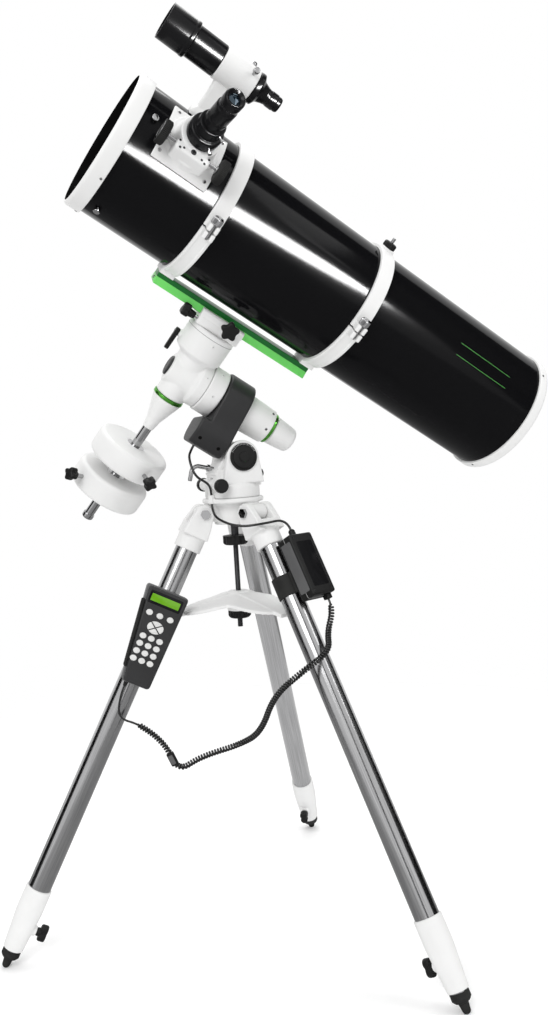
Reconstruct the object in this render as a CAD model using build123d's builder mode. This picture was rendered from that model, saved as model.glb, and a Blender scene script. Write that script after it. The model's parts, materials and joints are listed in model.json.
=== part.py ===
import os
from math import acos, cos, radians, sin, tan

from build123d import *

os.makedirs("parts", exist_ok=True)

# Settings of the mount, in degrees
latitude = 33.7
hour_angle = -24.5
declination_turn = 3.45
tripod_turn = -5.4

# Clearances
running_gap = 0.3
seat_gap = 0.1

# Tripod legs, measured along a leg from its hinge
leg_splay = 27.6
hinge_radius = 59
hinge_bolt_radius = 5
cheek_radius = 17
cheek_inner = 16
cheek_outer = 30
fork_depth = 22
shoulder_end = 46
shoulder_depth = 44
sleeve_radius = 25
sleeve_end = 70
tube_start = 38
leg_tube_radius = 20.75
leg_tube_wall = 1.5
clamp_start = 722
clamp_seat = 30
clamp_length = 114
clamp_radius = 23.5
clamp_end_radius = 18
clamp_straight = 14
extension_radius = 15
extension_start = 270
extension_wall = 1.5
bush_length = 20
foot_radius = 16.5
foot_tip_radius = 6
foot_length = 34.7
foot_gap = 2
foot_plug = 20
lock_from_end = 40
lock_boss_radius = 9
lock_boss_reach = 26
lock_shank_radius = 4
lock_knob_reach = 46
lock_knob_span = 30
lock_knob_height = 14

# Tripod hub, centre bolt and tray
hub_over_hinge = 26.4
hub_flange_radius = 56
hub_flange_thickness = 8
hub_core_radius = 36
hub_depth = 48
lug_round = 14
bolt_radius = 7
bolt_rise = 10
bolt_knob_top = 70
bolt_knob_radius = 23
bolt_knob_height = 17
rod_radius = 4.8
rod_end = 239
clip_angle = 210
clip_radius = 57
clip_length = 9
clip_height = 16
clip_straight = 9
peg_radius = 5
peg_place = 38
peg_height = 30
tray_top = 172
tray_height = 36
tray_shoulder = 8
tray_arm_drop = 4
tray_boss_radius = 22
tray_arm_width = 36
tray_root_thickness = 14
tray_tip_thickness = 7
tray_tip_drop = 32
nut_radius = 21
nut_height = 14

# Azimuth base and altitude pivot
base_radius = 50
base_height = 28
pivot_south = 9
pivot_over_hub = 73
pivot_radius = 6
cheek_gap = 31
cheek_thickness = 16
fork_radius = 30
disc_radius = 25
disc_thickness = 6
bridge_place = 26
bridge_thickness = 12
bridge_height = 28
screw_radius = 4
small_shank_radius = 3
azimuth_screw_place = 38
azimuth_screw_height = 24
azimuth_screw_gap = 6
azimuth_boss_radius = 11
azimuth_knob_radius = 13
altitude_screw_tilt = 14
handle_reach = 62
handle_drop = 30
altitude_shank_start = 16
rear_screw_stand = 16
rear_knob_radius = 7.6
rear_knob_height = 6

# Polar housing, seen from the crossing of the polar and declination axes
axis_over_pivot = 79.6
axis_ahead = 158.5
flange_radius = 45
flange_front = 42
flange_back = 73
housing_radius = 35
housing_end_radius = 32.5
housing_end = 185
ra_shaft_radius = 20
ra_shaft_bore = 12
barrel_radius = 26
cover_front = 75
cover_back = 127
cover_radius = 48
cover_lobe_front = 50
cover_lobe_top = 52
cover_lobe_low = 104
cover_west = 50
cover_east = 24
cover_wall = 4
green_ring_width = 6
green_ring_radius = 29.5
cap_length = 48
cap_radius = 27
cap_end_radius = 22

# Declination head
neck_radius = 43
neck_length = 18
head_radius = 34
head_front = 30.5
dec_top_radius = 45
dec_top_start = 46
dec_top_end = 96
dec_low_radius = 28
dec_low_end = 47
dec_shaft_radius = 15
front_cap_radius = 19
front_cap_thickness = 4
lever_place = 60
lever_length = 44
lever_width = 13
lever_thickness = 8
lever_boss_radius = 7
lever_boss_height = 8
cone_end = 119
cone_end_radius = 10.5
bar_radius = 9
bar_end = 332
bar_stop_radius = 11
bar_stop_length = 10
weight_radius = 70
weight_thickness = 45
weight_round = 9
upper_weight_place = 160
lower_weight_place = 228
upper_knob_angle = 243
lower_knob_angle = 324
weight_knob_reach = 104
weight_knob_span = 26
weight_knob_height = 16

# Saddle and dovetail bar
saddle_length = 86
saddle_width = 68
saddle_plate = 16
jaw_height = 13
bar_bottom_width = 44
bar_top_width = 37
bar_height = 22
bar_front = 140
bar_back = 182
saddle_knob_place = -10
star_knob_radius = 17
star_knob_height = 13
star_knob_stand = 30
front_knob_inset = 16
front_knob_side = 27
front_knob_radius = 9
front_knob_height = 16
front_knob_reach = 48

# Tube, seen from the foot of the declination axis on the tube's axis
tube_radius = 115
tube_wall = 1.6
tube_front = 314
tube_back = 552
front_ring_back = 303
front_ring_front = 331
end_ring_wall = 4.5
mouth_lip = 4
cell_front = 543
cell_back = 563
cell_plate = 6
mirror_radius = 101.5
mirror_thickness = 22
mirror_pad = 14
ring_thickness = 6.5
ring_width = 27
ring_foot_width = 52
front_clamp_place = 127
rear_clamp_place = -172
split_angle = -96
lug_width = 20
lug_height = 12
lug_reach = 24
clamp_screw_radius = 3
knuckle_radius = 6
pin_radius = 2.5
stud_radius = 3.175
stud_length = 9
camera_knob_radius = 12
spider_place = 285
vane_depth = 28
vane_thickness = 1.2
spider_hub_radius = 18
secondary_radius = 26

# Focuser, along its own axis from the tube's axis
focuser_place = 215
focuser_angle = -50
plate_half_angle = 26
plate_length = 100
plate_thickness = 5
focuser_body_radius = 34
focuser_top = 150
focuser_root = 20
drawtube_radius = 25.5
drawtube_wall = 2
drawtube_bottom = 98
collar_bottom = 154
collar_top = 172
collar_radius = 28
adapter_radius = 22
adapter_top = 190
eyepiece_barrel = 15.9
eyepiece_radius = 17.5
eyepiece_top = 262
axle_offset = 30
axle_rise = 142
axle_radius = 3
axle_half = 52
focus_knob_radius = 20
focus_knob_thickness = 13

# Finder, along the tube
finder_angle = -8
finder_distance = 204
finder_front = 343
finder_cell_back = 293
finder_cell_radius = 29.5
finder_tube_radius = 26.5
finder_tube_back = 242
finder_neck_radius = 20.5
finder_neck_back = 176
finder_flange_radius = 26
finder_flange_back = 168
finder_eye_radius = 13
finder_back = 125
bracket_radius = 27.5
bracket_bore = 22
bracket_gap = 1.3
stalk_width = 20
stalk_front = 232
stalk_back = 203
thumb_screw_place = 12
thumb_screw_radius = 2.5
thumb_screw_length = 16
thumb_head_radius = 5.5
thumb_head_height = 8

# Drive: control box on the west leg, handset on the north leg
box_start = 74
box_length = 114
box_west = 10
box_east = 46
box_depth = 33
box_gap = 2
plug_radius = 6
plug_length = 14
socket_length = 8
socket_width = 12
strap_width = 24
strap_thickness = 2
handset_start = 150
handset_length = 175
handset_left = 47
handset_right = 33
handset_low_left = 22
handset_thickness = 26
handset_gap = 2
lead_across = 12
lead_length = 8
top_keys_place = 46
arrow_keys_place = 68
digit_keys_place = 88
digit_key_pitch = 14
key_half_width = 5.8
key_half_height = 5
arrow_key_radius = 4
key_height = 5
key_stand = 1.4
key_travel = 1

# Cords
wire_radius = 1.7
curl_radius = 5.6
cord_straight = 20
cable_radius = 2.2
cable_exit = 75
cable_exit_west = 20

# Directions of the axes
lat = radians(latitude)
hour = radians(hour_angle)
turn_dec = radians(declination_turn)
splay = radians(leg_splay)
up = Vector(0, 0, 1)
west = Vector(0, -1, 0)
polar = Vector(-cos(lat), 0, sin(lat))
polar_up = Vector(sin(lat), 0, cos(lat))
dec = polar_up * cos(hour) + Vector(0, 1, 0) * sin(hour)
level = polar.cross(dec)
tube_way = polar * cos(turn_dec) - level * sin(turn_dec)
tube_side = tube_way.cross(dec)

# Heights and reference points
clamp_end = clamp_start + clamp_length
leg_length = clamp_end + foot_length
lock_place = clamp_end - lock_from_end
hinge_height = leg_length * cos(splay)
hub_top = hinge_height + hub_over_hinge
pivot = Vector(pivot_south, 0, hub_top + pivot_over_hub)
crossing = pivot + polar_up * axis_over_pivot + polar * axis_ahead
saddle_floor = dec_top_end + seat_gap * 4 + saddle_plate
ring_inner = tube_radius + running_gap + seat_gap
ring_outer = ring_inner + ring_thickness
end_ring_radius = tube_radius + end_ring_wall
mouth_radius = tube_radius - mouth_lip
tube_distance = saddle_floor + bar_height + ring_outer + 4
tube_origin = crossing + dec * tube_distance


def polar_plane(along):
    return Plane(crossing + polar * along, x_dir=polar_up, z_dir=polar)


def dec_plane(along):
    return Plane(crossing + dec * along, x_dir=polar, z_dir=dec)


def saddle_plane(along):
    return Plane(crossing + dec * along, x_dir=tube_way, z_dir=dec)


def tube_plane(station):
    return Plane(tube_origin + tube_way * station, x_dir=dec, z_dir=tube_way)


def around(angle):
    return dec * cos(radians(angle)) + tube_side * sin(radians(angle))


def tube_point(station, distance, angle):
    return tube_origin + tube_way * station + around(angle) * distance


def radial_plane(station, distance, angle):
    return Plane(tube_point(station, distance, angle), x_dir=tube_way, z_dir=around(angle))


def turned(base, *outline, mode=Mode.ADD):
    section = Plane(base.origin, x_dir=base.x_dir, z_dir=-base.y_dir)
    with BuildSketch(section) as profile:
        with BuildLine():
            Polyline(*outline, close=True)
        make_face()
    revolve(profile.sketch, axis=Axis(base.origin, base.z_dir), mode=mode)


def drum(base, radius, length, mode=Mode.ADD):
    with BuildSketch(base) as disc:
        Circle(radius)
    extrude(disc.sketch, amount=length, mode=mode)


def block(base, width, depth, height, mode=Mode.ADD):
    with BuildSketch(base) as shape:
        Rectangle(width, depth)
    extrude(shape.sketch, amount=height, mode=mode)


def slab(base, outline, height, mode=Mode.ADD, both=False):
    with BuildSketch(base) as shape:
        with BuildLine():
            Polyline(*outline, close=True)
        make_face()
    extrude(shape.sketch, amount=height, both=both, mode=mode)


def wing_knob(base, span, height, shank, reach):
    drum(base, shank, reach - height)
    top = base.offset(reach - height)
    with BuildSketch(top) as wings:
        Circle(span * 0.24)
        Rectangle(span, span * 0.3)
    extrude(wings.sketch, amount=height)


def star_knob(base, radius, height, shank, reach):
    drum(base, shank, reach - height)
    top = base.offset(reach - height)
    with BuildSketch(top) as star:
        Circle(radius * 0.82)
        with PolarLocations(radius * 0.8, 6):
            Circle(radius * 0.2)
    extrude(star.sketch, amount=height)


def keep(piece, name):
    piece.part.label = name
    export_step(piece.part, f"parts/{name}.step")


class Leg:
    def __init__(self, name, azimuth):
        self.name = name
        angle = radians(azimuth + tripod_turn)
        self.radial = Vector(cos(angle), sin(angle), 0)
        self.tangent = up.cross(self.radial)
        self.down = self.radial * sin(splay) - up * cos(splay)
        self.outer = self.radial * cos(splay) + up * sin(splay)
        self.hinge = self.radial * hinge_radius + up * hinge_height

    def point(self, along, out=0, side=0):
        return self.hinge + self.down * along + self.outer * out + self.tangent * side

    def plane(self, along):
        return Plane(self.point(along), x_dir=self.outer, z_dir=self.down)


clip_turn = radians(clip_angle)
clip_place = Vector(clip_radius * cos(clip_turn), clip_radius * sin(clip_turn), hub_top)
legs = [Leg("north", 180), Leg("west", 300), Leg("east", 60)]
north, west_leg = legs[:2]


# Tripod hub with three lugs and the azimuth peg
with BuildPart() as tripod_hub:
    turned(
        Plane((0, 0, hub_top)),
        (bolt_radius + running_gap, 0),
        (hub_flange_radius, 0),
        (hub_flange_radius, -hub_flange_thickness),
        (hub_core_radius, -hub_flange_thickness),
        (hub_core_radius, -hub_depth),
        (bolt_radius + running_gap, -hub_depth),
    )
    for leg in legs:
        lug = Plane(leg.hinge, x_dir=leg.radial, z_dir=leg.tangent)
        with BuildSketch(lug) as lug_shape:
            Circle(lug_round)
            with Locations((-lug_round, 0)):
                Rectangle(2 * lug_round, 2 * lug_round)
        extrude(lug_shape.sketch, amount=cheek_inner - running_gap, both=True)
        drum(
            Plane(leg.hinge - leg.tangent * cheek_inner, x_dir=leg.radial, z_dir=leg.tangent),
            hinge_bolt_radius + running_gap,
            2 * cheek_inner,
            mode=Mode.SUBTRACT,
        )
    drum(
        Plane((0, 0, hub_top - hub_depth)),
        bolt_radius + running_gap,
        hub_depth,
        mode=Mode.SUBTRACT,
    )
    drum(Plane((-peg_place, 0, hub_top - hub_flange_thickness)), peg_radius, peg_height)
    block(Plane(clip_place - up * clip_height / 2), clip_length, clip_length, clip_height)
keep(tripod_hub, "tripod_hub")

# Three hinge bolts with hexagon heads and nuts
bolt_half = cheek_outer + seat_gap
with BuildPart() as leg_pivot_bolts:
    for leg in legs:
        shank = Plane(leg.hinge - leg.tangent * bolt_half, x_dir=leg.radial, z_dir=leg.tangent)
        drum(shank, hinge_bolt_radius, 2 * bolt_half)
        for side in (-1, 1):
            head_way = leg.tangent * side
            head = Plane(leg.hinge + head_way * bolt_half, x_dir=leg.radial, z_dir=head_way)
            with BuildSketch(head) as hexagon:
                RegularPolygon(hinge_bolt_radius * 1.8, 6)
            extrude(hexagon.sketch, amount=hinge_bolt_radius)
keep(leg_pivot_bolts, "leg_pivot_bolts")

# Centre bolt: threaded rod with its knob
with BuildPart() as centre_bolt:
    turned(
        Plane((0, 0, hub_top)),
        (0, bolt_rise),
        (bolt_radius, bolt_rise),
        (bolt_radius, -bolt_knob_top),
        (bolt_knob_radius - 2, -bolt_knob_top),
        (bolt_knob_radius, -bolt_knob_top - 2),
        (bolt_knob_radius, -bolt_knob_top - bolt_knob_height + 2),
        (bolt_knob_radius - 2, -bolt_knob_top - bolt_knob_height),
        (rod_radius, -bolt_knob_top - bolt_knob_height),
        (rod_radius, -rod_end + 1),
        (rod_radius - 1, -rod_end),
        (0, -rod_end),
    )
keep(centre_bolt, "centre_bolt")

# Spreader tray: boss and three sloping arms that end on the leg tubes
tray_top_height = hub_top - tray_top
tray_bottom = tray_top_height - tray_height
tip_height = tray_top_height - tray_tip_drop
tray_reach = hinge_radius + (hinge_height - tip_height) * tan(splay)
with BuildPart() as spreader_tray:
    turned(
        Plane((0, 0, tray_bottom)),
        (0, 0),
        (tray_boss_radius, 0),
        (tray_boss_radius, tray_height - tray_shoulder),
        (tray_boss_radius - tray_shoulder, tray_height),
        (0, tray_height),
    )
    for leg in legs:
        slab(
            Plane((0, 0, 0), x_dir=leg.radial, z_dir=-leg.tangent),
            [
                (0, tray_top_height - tray_arm_drop),
                (tray_reach, tip_height + tray_tip_thickness),
                (tray_reach, tip_height),
                (0, tray_top_height - tray_arm_drop - tray_root_thickness),
            ],
            tray_arm_width / 2,
            both=True,
        )
        tube_seat = leg.plane(tube_start)
        drum(tube_seat, leg_tube_radius + running_gap, clamp_start - tube_start, mode=Mode.SUBTRACT)
        block(
            Plane(leg.point(tube_start, 2 * leg_tube_radius), x_dir=leg.outer, z_dir=leg.down),
            4 * leg_tube_radius,
            2 * tray_arm_width,
            clamp_start - tube_start,
            mode=Mode.SUBTRACT,
        )
    drum(Plane((0, 0, tray_bottom)), rod_radius + running_gap, tray_height, mode=Mode.SUBTRACT)
keep(spreader_tray, "spreader_tray")

# Nut under the tray
with BuildPart() as tray_nut:
    turned(
        Plane((0, 0, tray_bottom - seat_gap)),
        (rod_radius + running_gap, 0),
        (nut_radius - 8, 0),
        (nut_radius, -nut_height * 0.4),
        (nut_radius, -nut_height * 0.8),
        (nut_radius - 3, -nut_height),
        (rod_radius + running_gap, -nut_height),
    )
keep(tray_nut, "tray_nut")

# Legs: castings, tube, extension and lock knob
for leg in legs:
    cheek = Plane(leg.hinge, x_dir=leg.down, z_dir=leg.tangent)
    with BuildPart() as castings:
        with BuildSketch(cheek) as cheek_shape:
            Circle(cheek_radius)
            with BuildLine():
                Polyline(
                    (0, cheek_radius),
                    (fork_depth, shoulder_depth / 2),
                    (shoulder_end, sleeve_radius),
                    (shoulder_end, -sleeve_radius),
                    (fork_depth, -shoulder_depth / 2),
                    (0, -cheek_radius),
                    close=True,
                )
            make_face()
        extrude(cheek_shape.sketch, amount=cheek_outer, both=True)
        block(
            Plane(leg.point(-cheek_radius), x_dir=leg.outer, z_dir=leg.down),
            4 * cheek_radius,
            2 * cheek_inner,
            cheek_radius + fork_depth,
            mode=Mode.SUBTRACT,
        )
        drum(leg.plane(shoulder_end), sleeve_radius, sleeve_end - shoulder_end)
        drum(leg.plane(tube_start), leg_tube_radius + seat_gap / 2, sleeve_end, mode=Mode.SUBTRACT)
        drum(
            Plane(leg.hinge - leg.tangent * cheek_outer, x_dir=leg.radial, z_dir=leg.tangent),
            hinge_bolt_radius + running_gap,
            2 * cheek_outer,
            mode=Mode.SUBTRACT,
        )
        boss = Plane(leg.point(lock_place), x_dir=leg.down, z_dir=-leg.outer)
        drum(boss, lock_boss_radius, lock_boss_reach)
        turned(
            leg.plane(clamp_start),
            (0, 0),
            (clamp_radius, 0),
            (clamp_radius, clamp_seat + clamp_straight),
            (clamp_end_radius, clamp_length),
            (0, clamp_length),
        )
        drum(leg.plane(clamp_start), leg_tube_radius + seat_gap / 2, clamp_seat, mode=Mode.SUBTRACT)
        drum(leg.plane(clamp_start), extension_radius + running_gap, clamp_length, mode=Mode.SUBTRACT)
        drum(
            boss.offset(extension_radius),
            lock_shank_radius + running_gap,
            lock_boss_reach,
            mode=Mode.SUBTRACT,
        )
    keep(castings, f"{leg.name}_leg_castings")

    with BuildPart() as leg_tube:
        drum(leg.plane(tube_start), leg_tube_radius, clamp_start + clamp_seat - tube_start)
        drum(
            leg.plane(tube_start),
            leg_tube_radius - leg_tube_wall,
            clamp_start + clamp_seat - tube_start,
            mode=Mode.SUBTRACT,
        )
    keep(leg_tube, f"{leg.name}_leg_tube")

    bush_radius = leg_tube_radius - leg_tube_wall - running_gap
    foot_start = clamp_end + foot_gap
    with BuildPart() as extension:
        turned(
            leg.plane(extension_start),
            (extension_radius - extension_wall, 0),
            (bush_radius, 0),
            (bush_radius, bush_length),
            (extension_radius, bush_length),
            (extension_radius, foot_start - extension_start),
            (extension_radius - extension_wall, foot_start - extension_start),
        )
        turned(
            leg.plane(foot_start),
            (0, -foot_plug),
            (extension_radius - extension_wall, -foot_plug),
            (extension_radius - extension_wall, 0),
            (foot_radius, 0),
            (foot_radius, foot_length / 2),
            (foot_tip_radius, foot_length - foot_gap),
            (0, foot_length - foot_gap),
        )
        block(Plane.XY.offset(-foot_radius), 2 * leg_length, 2 * leg_length, foot_radius, mode=Mode.SUBTRACT)
    keep(extension, f"{leg.name}_leg_extension")

    with BuildPart() as lock_knob:
        wing_knob(
            boss.offset(extension_radius + running_gap + seat_gap),
            lock_knob_span,
            lock_knob_height,
            lock_shank_radius,
            lock_knob_reach - extension_radius,
        )
    keep(lock_knob, f"{leg.name}_leg_knob")

# Azimuth base: round foot, fork for the altitude pivot, bridge for the front altitude screw
base_floor = hub_top + seat_gap
fork_outside = cheek_gap + cheek_thickness
screw_height = hub_top + azimuth_screw_height
screw_tilt = radians(altitude_screw_tilt)
front_screw_way = Vector(-cos(screw_tilt), 0, sin(screw_tilt))
front_screw_foot = pivot + Vector(0, 0, -barrel_radius - screw_radius)
rear_screw_height = pivot.Z - barrel_radius * 1.25
with BuildPart() as azimuth_base:
    drum(Plane((0, 0, base_floor)), base_radius, base_height)
    fork_side = Plane((0, fork_outside, 0), x_dir=(1, 0, 0), z_dir=(0, -1, 0))
    with BuildSketch(fork_side) as fork_shape:
        with Locations((pivot.X, pivot.Z)):
            Circle(fork_radius)
        with BuildLine():
            Polyline(
                (pivot.X - fork_radius, pivot.Z),
                (-base_radius * 0.62, base_floor + base_height - 2),
                (base_radius * 0.94, base_floor + base_height - 2),
                (pivot.X + fork_radius, pivot.Z),
                close=True,
            )
        make_face()
    extrude(fork_shape.sketch, amount=2 * fork_outside)
    block(
        Plane((0, 0, base_floor + base_height), x_dir=(1, 0, 0), z_dir=(0, 0, 1)),
        4 * base_radius,
        2 * cheek_gap,
        pivot_over_hub + fork_radius,
        mode=Mode.SUBTRACT,
    )
    block(
        Plane((-bridge_place - bridge_thickness / 2, 0, base_floor + base_height - 2)),
        bridge_thickness,
        2 * cheek_gap + 2,
        bridge_height,
    )
    block(
        Plane((base_radius - bridge_thickness / 2 - 4, 0, base_floor + base_height - 2)),
        bridge_thickness,
        2 * cheek_gap + 2,
        bridge_height * 0.7,
    )
    drum(
        Plane((-azimuth_screw_place, -fork_outside, screw_height), x_dir=(1, 0, 0), z_dir=(0, 1, 0)),
        azimuth_boss_radius,
        2 * fork_outside,
    )
    block(
        Plane((-azimuth_screw_place - 10, 0, base_floor)),
        2 * peg_radius + 34,
        4 * peg_radius,
        peg_height + 8,
        mode=Mode.SUBTRACT,
    )
    drum(
        Plane((-azimuth_screw_place, -fork_outside, screw_height), x_dir=(1, 0, 0), z_dir=(0, 1, 0)),
        screw_radius + running_gap,
        2 * fork_outside,
        mode=Mode.SUBTRACT,
    )
    drum(
        Plane(front_screw_foot, x_dir=(0, 1, 0), z_dir=front_screw_way),
        screw_radius + running_gap,
        2 * base_radius,
        mode=Mode.SUBTRACT,
    )
    drum(
        Plane((pivot.X, 0, rear_screw_height), x_dir=(0, 1, 0), z_dir=(1, 0, 0)),
        screw_radius + running_gap,
        2 * base_radius,
        mode=Mode.SUBTRACT,
    )
    drum(
        Plane((pivot.X, -fork_outside, pivot.Z), x_dir=(1, 0, 0), z_dir=(0, 1, 0)),
        pivot_radius + seat_gap / 2,
        2 * fork_outside,
        mode=Mode.SUBTRACT,
    )
    drum(Plane((0, 0, base_floor)), bolt_radius + running_gap, bolt_rise + 2, mode=Mode.SUBTRACT)
keep(azimuth_base, "azimuth_base")

# Azimuth screws: two on one line, one each side of the peg
screw_tip = peg_radius + azimuth_screw_gap
with BuildPart() as azimuth_screws:
    for side in (-1, 1):
        tip = Plane(
            (-azimuth_screw_place, side * screw_tip, screw_height), x_dir=(1, 0, 0), z_dir=(0, side, 0)
        )
        drum(tip, screw_radius, fork_outside + 3 - screw_tip)
        turned(
            tip.offset(fork_outside + 2 - screw_tip),
            (0, 0),
            (azimuth_knob_radius, 0),
            (azimuth_knob_radius, 10),
            (azimuth_knob_radius - 3, 13),
            (0, 13),
        )
keep(azimuth_screws, "azimuth_screws")

# Altitude pivot: bolt with a disc at each end
with BuildPart() as altitude_pivot:
    drum(
        Plane((pivot.X, -fork_outside - 1, pivot.Z), x_dir=(1, 0, 0), z_dir=(0, 1, 0)),
        pivot_radius,
        2 * fork_outside + 2,
    )
    for side in (-1, 1):
        disc_place = (pivot.X, side * (fork_outside + seat_gap), pivot.Z)
        disc = Plane(disc_place, x_dir=(1, 0, 0), z_dir=(0, side, 0))
        turned(
            disc,
            (0, 0),
            (disc_radius, 0),
            (disc_radius, disc_thickness * 0.5),
            (disc_radius - 4, disc_thickness * 0.5),
            (disc_radius - 5, disc_thickness),
            (0, disc_thickness),
        )
keep(altitude_pivot, "altitude_pivot")

# Front altitude screw with an L handle
with BuildPart() as front_altitude_screw:
    shank_foot = front_screw_foot + front_screw_way * altitude_shank_start
    shank = Plane(shank_foot, x_dir=(0, 1, 0), z_dir=front_screw_way)
    drum(shank, screw_radius, handle_reach + bridge_place - altitude_shank_start)
    elbow = front_screw_foot + front_screw_way * (handle_reach + bridge_place - screw_radius)
    handle_way = Vector(-sin(screw_tilt), 0, -cos(screw_tilt))
    drum(Plane(elbow, x_dir=(0, 1, 0), z_dir=handle_way), screw_radius, handle_drop)
keep(front_altitude_screw, "front_altitude_screw")

# Rear altitude screw with a small knob
rear_wall = base_radius - 4
with BuildPart() as rear_altitude_screw:
    rear_start = pivot.X + altitude_shank_start
    rear_tip = Plane((rear_start, 0, rear_screw_height), x_dir=(0, 1, 0), z_dir=(1, 0, 0))
    rear_length = rear_wall - rear_start
    drum(rear_tip, screw_radius, rear_length + rear_screw_stand)
    drum(rear_tip.offset(rear_length + rear_screw_stand / 2), rear_knob_radius, rear_knob_height)
keep(rear_altitude_screw, "rear_altitude_screw")

# Polar housing: flange, tapering body and the barrel on the altitude pivot
with BuildPart() as polar_housing:
    turned(
        polar_plane(0),
        (ra_shaft_radius + running_gap, -flange_front),
        (flange_radius - 2, -flange_front),
        (flange_radius, -flange_front - 2),
        (flange_radius, -flange_back),
        (housing_radius, -flange_back),
        (housing_radius, -cover_back - 6),
        (housing_end_radius, -housing_end),
        (ra_shaft_radius + running_gap, -housing_end),
    )
    rise = axis_over_pivot - ra_shaft_radius - 8
    with BuildSketch(Plane(pivot, x_dir=polar, z_dir=polar.cross(polar_up))) as lug_side:
        Circle(barrel_radius)
        with BuildLine():
            Polyline(
                (-barrel_radius, 0),
                (-barrel_radius * 0.9, rise),
                (barrel_radius, rise),
                (barrel_radius, 0),
                close=True,
            )
        make_face()
    extrude(lug_side.sketch, amount=cheek_gap - 3 * seat_gap, both=True)
    ra_bore = ra_shaft_radius + running_gap
    drum(polar_plane(-housing_end), ra_bore, housing_end - flange_front, mode=Mode.SUBTRACT)
    drum(
        Plane((pivot.X, -fork_outside, pivot.Z), x_dir=(1, 0, 0), z_dir=(0, 1, 0)),
        pivot_radius + running_gap,
        2 * fork_outside,
        mode=Mode.SUBTRACT,
    )
keep(polar_housing, "polar_housing")

# Dark cover over the motor: collar round the housing and a lobe below it
cover_face = Plane(crossing - polar * cover_back, x_dir=west, z_dir=polar)
with BuildPart() as ra_motor_cover:
    with BuildSketch(cover_face) as collar:
        Circle(cover_radius)
        with BuildLine():
            Polyline(
                (cover_radius, 0),
                (cover_west, -cover_lobe_low + 26),
                (cover_west - 14, -cover_lobe_low),
                (-cover_east + 10, -cover_lobe_low + 4),
                (-cover_east, -cover_lobe_low + 20),
                (-cover_radius * 0.92, -cover_radius * 0.4),
                close=True,
            )
        make_face()
    extrude(collar.sketch, amount=cover_back - cover_front)
    with BuildSketch(cover_face) as lobe:
        with BuildLine():
            Polyline(
                (cover_west, -cover_lobe_top),
                (cover_west, -cover_lobe_low + 26),
                (cover_west - 14, -cover_lobe_low),
                (-cover_east + 10, -cover_lobe_low + 4),
                (-cover_east, -cover_lobe_low + 20),
                (-cover_east, -cover_lobe_top),
                close=True,
            )
        make_face()
    extrude(lobe.sketch, amount=cover_back - cover_lobe_front)
    with BuildSketch(cover_face.offset(cover_wall)) as hollow:
        with Locations(((cover_west - cover_east) / 2, -(cover_lobe_top + cover_lobe_low) / 2 - 4)):
            Rectangle(
                cover_west + cover_east - 6 * cover_wall,
                cover_lobe_low - cover_lobe_top - 5 * cover_wall,
            )
    extrude(hollow.sketch, amount=cover_back - cover_lobe_front - 2 * cover_wall, mode=Mode.SUBTRACT)
    drum(cover_face, housing_radius + seat_gap, cover_back, mode=Mode.SUBTRACT)
keep(ra_motor_cover, "ra_motor_cover")

# Green ring and polar scope cap behind the housing
with BuildPart() as polar_scope_cap:
    turned(
        polar_plane(-housing_end - seat_gap),
        (0, 0),
        (green_ring_radius, 0),
        (green_ring_radius, -green_ring_width),
        (0, -green_ring_width),
    )
    turned(
        polar_plane(-housing_end - green_ring_width - 2 * seat_gap),
        (0, 0),
        (cap_radius, 0),
        (cap_radius - 1, -cap_length * 0.35),
        (cap_end_radius + 1, -cap_length * 0.9),
        (cap_end_radius - 4, -cap_length),
        (0, -cap_length),
    )
keep(polar_scope_cap, "polar_scope_cap")

# Right ascension shaft, hollow, turning in the polar housing
ra_shaft_front = 17
with BuildPart() as ra_shaft:
    turned(
        polar_plane(0),
        (ra_shaft_bore, -ra_shaft_front),
        (ra_shaft_radius, -ra_shaft_front),
        (ra_shaft_radius, -housing_end + 2),
        (ra_shaft_bore, -housing_end + 2),
    )
keep(ra_shaft, "ra_shaft")

# Declination housing: neck on the polar axis, drum and tail on the declination axis
with BuildPart() as dec_housing:
    turned(
        polar_plane(0),
        (0, -flange_front + running_gap),
        (neck_radius, -flange_front + running_gap),
        (neck_radius, -flange_front + neck_length),
        (head_radius, -flange_front + neck_length + 4),
        (head_radius, 0),
        (head_radius - 6, head_front),
        (0, head_front),
    )
    turned(
        dec_plane(0),
        (0, -dec_low_end),
        (dec_low_radius, -dec_low_end),
        (dec_low_radius + 2, dec_top_start - 8),
        (dec_top_radius, dec_top_start),
        (dec_top_radius, dec_top_end - 2),
        (dec_top_radius - 2, dec_top_end),
        (0, dec_top_end),
    )
    drum(
        polar_plane(-flange_front),
        ra_shaft_radius + seat_gap / 2,
        flange_front - ra_shaft_front + 0.5,
        mode=Mode.SUBTRACT,
    )
    dec_bore = dec_shaft_radius + running_gap
    drum(dec_plane(-dec_low_end), dec_bore, dec_low_end + dec_top_end, mode=Mode.SUBTRACT)
    lever_boss = Plane(crossing + dec * lever_place, x_dir=dec, z_dir=polar)
    drum(lever_boss.offset(dec_top_radius - lever_boss_height / 2), lever_boss_radius, lever_boss_height)
    drum(
        lever_boss.offset(dec_top_radius - lever_boss_height / 2 - 2),
        small_shank_radius + running_gap,
        2 * lever_boss_height,
        mode=Mode.SUBTRACT,
    )
keep(dec_housing, "dec_housing")

with BuildPart() as polar_front_cap:
    turned(
        polar_plane(head_front + seat_gap / 2),
        (0, 0),
        (front_cap_radius, 0),
        (front_cap_radius - 1, front_cap_thickness - 1),
        (front_cap_radius - 3, front_cap_thickness),
        (0, front_cap_thickness),
    )
keep(polar_front_cap, "polar_front_cap")

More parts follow.
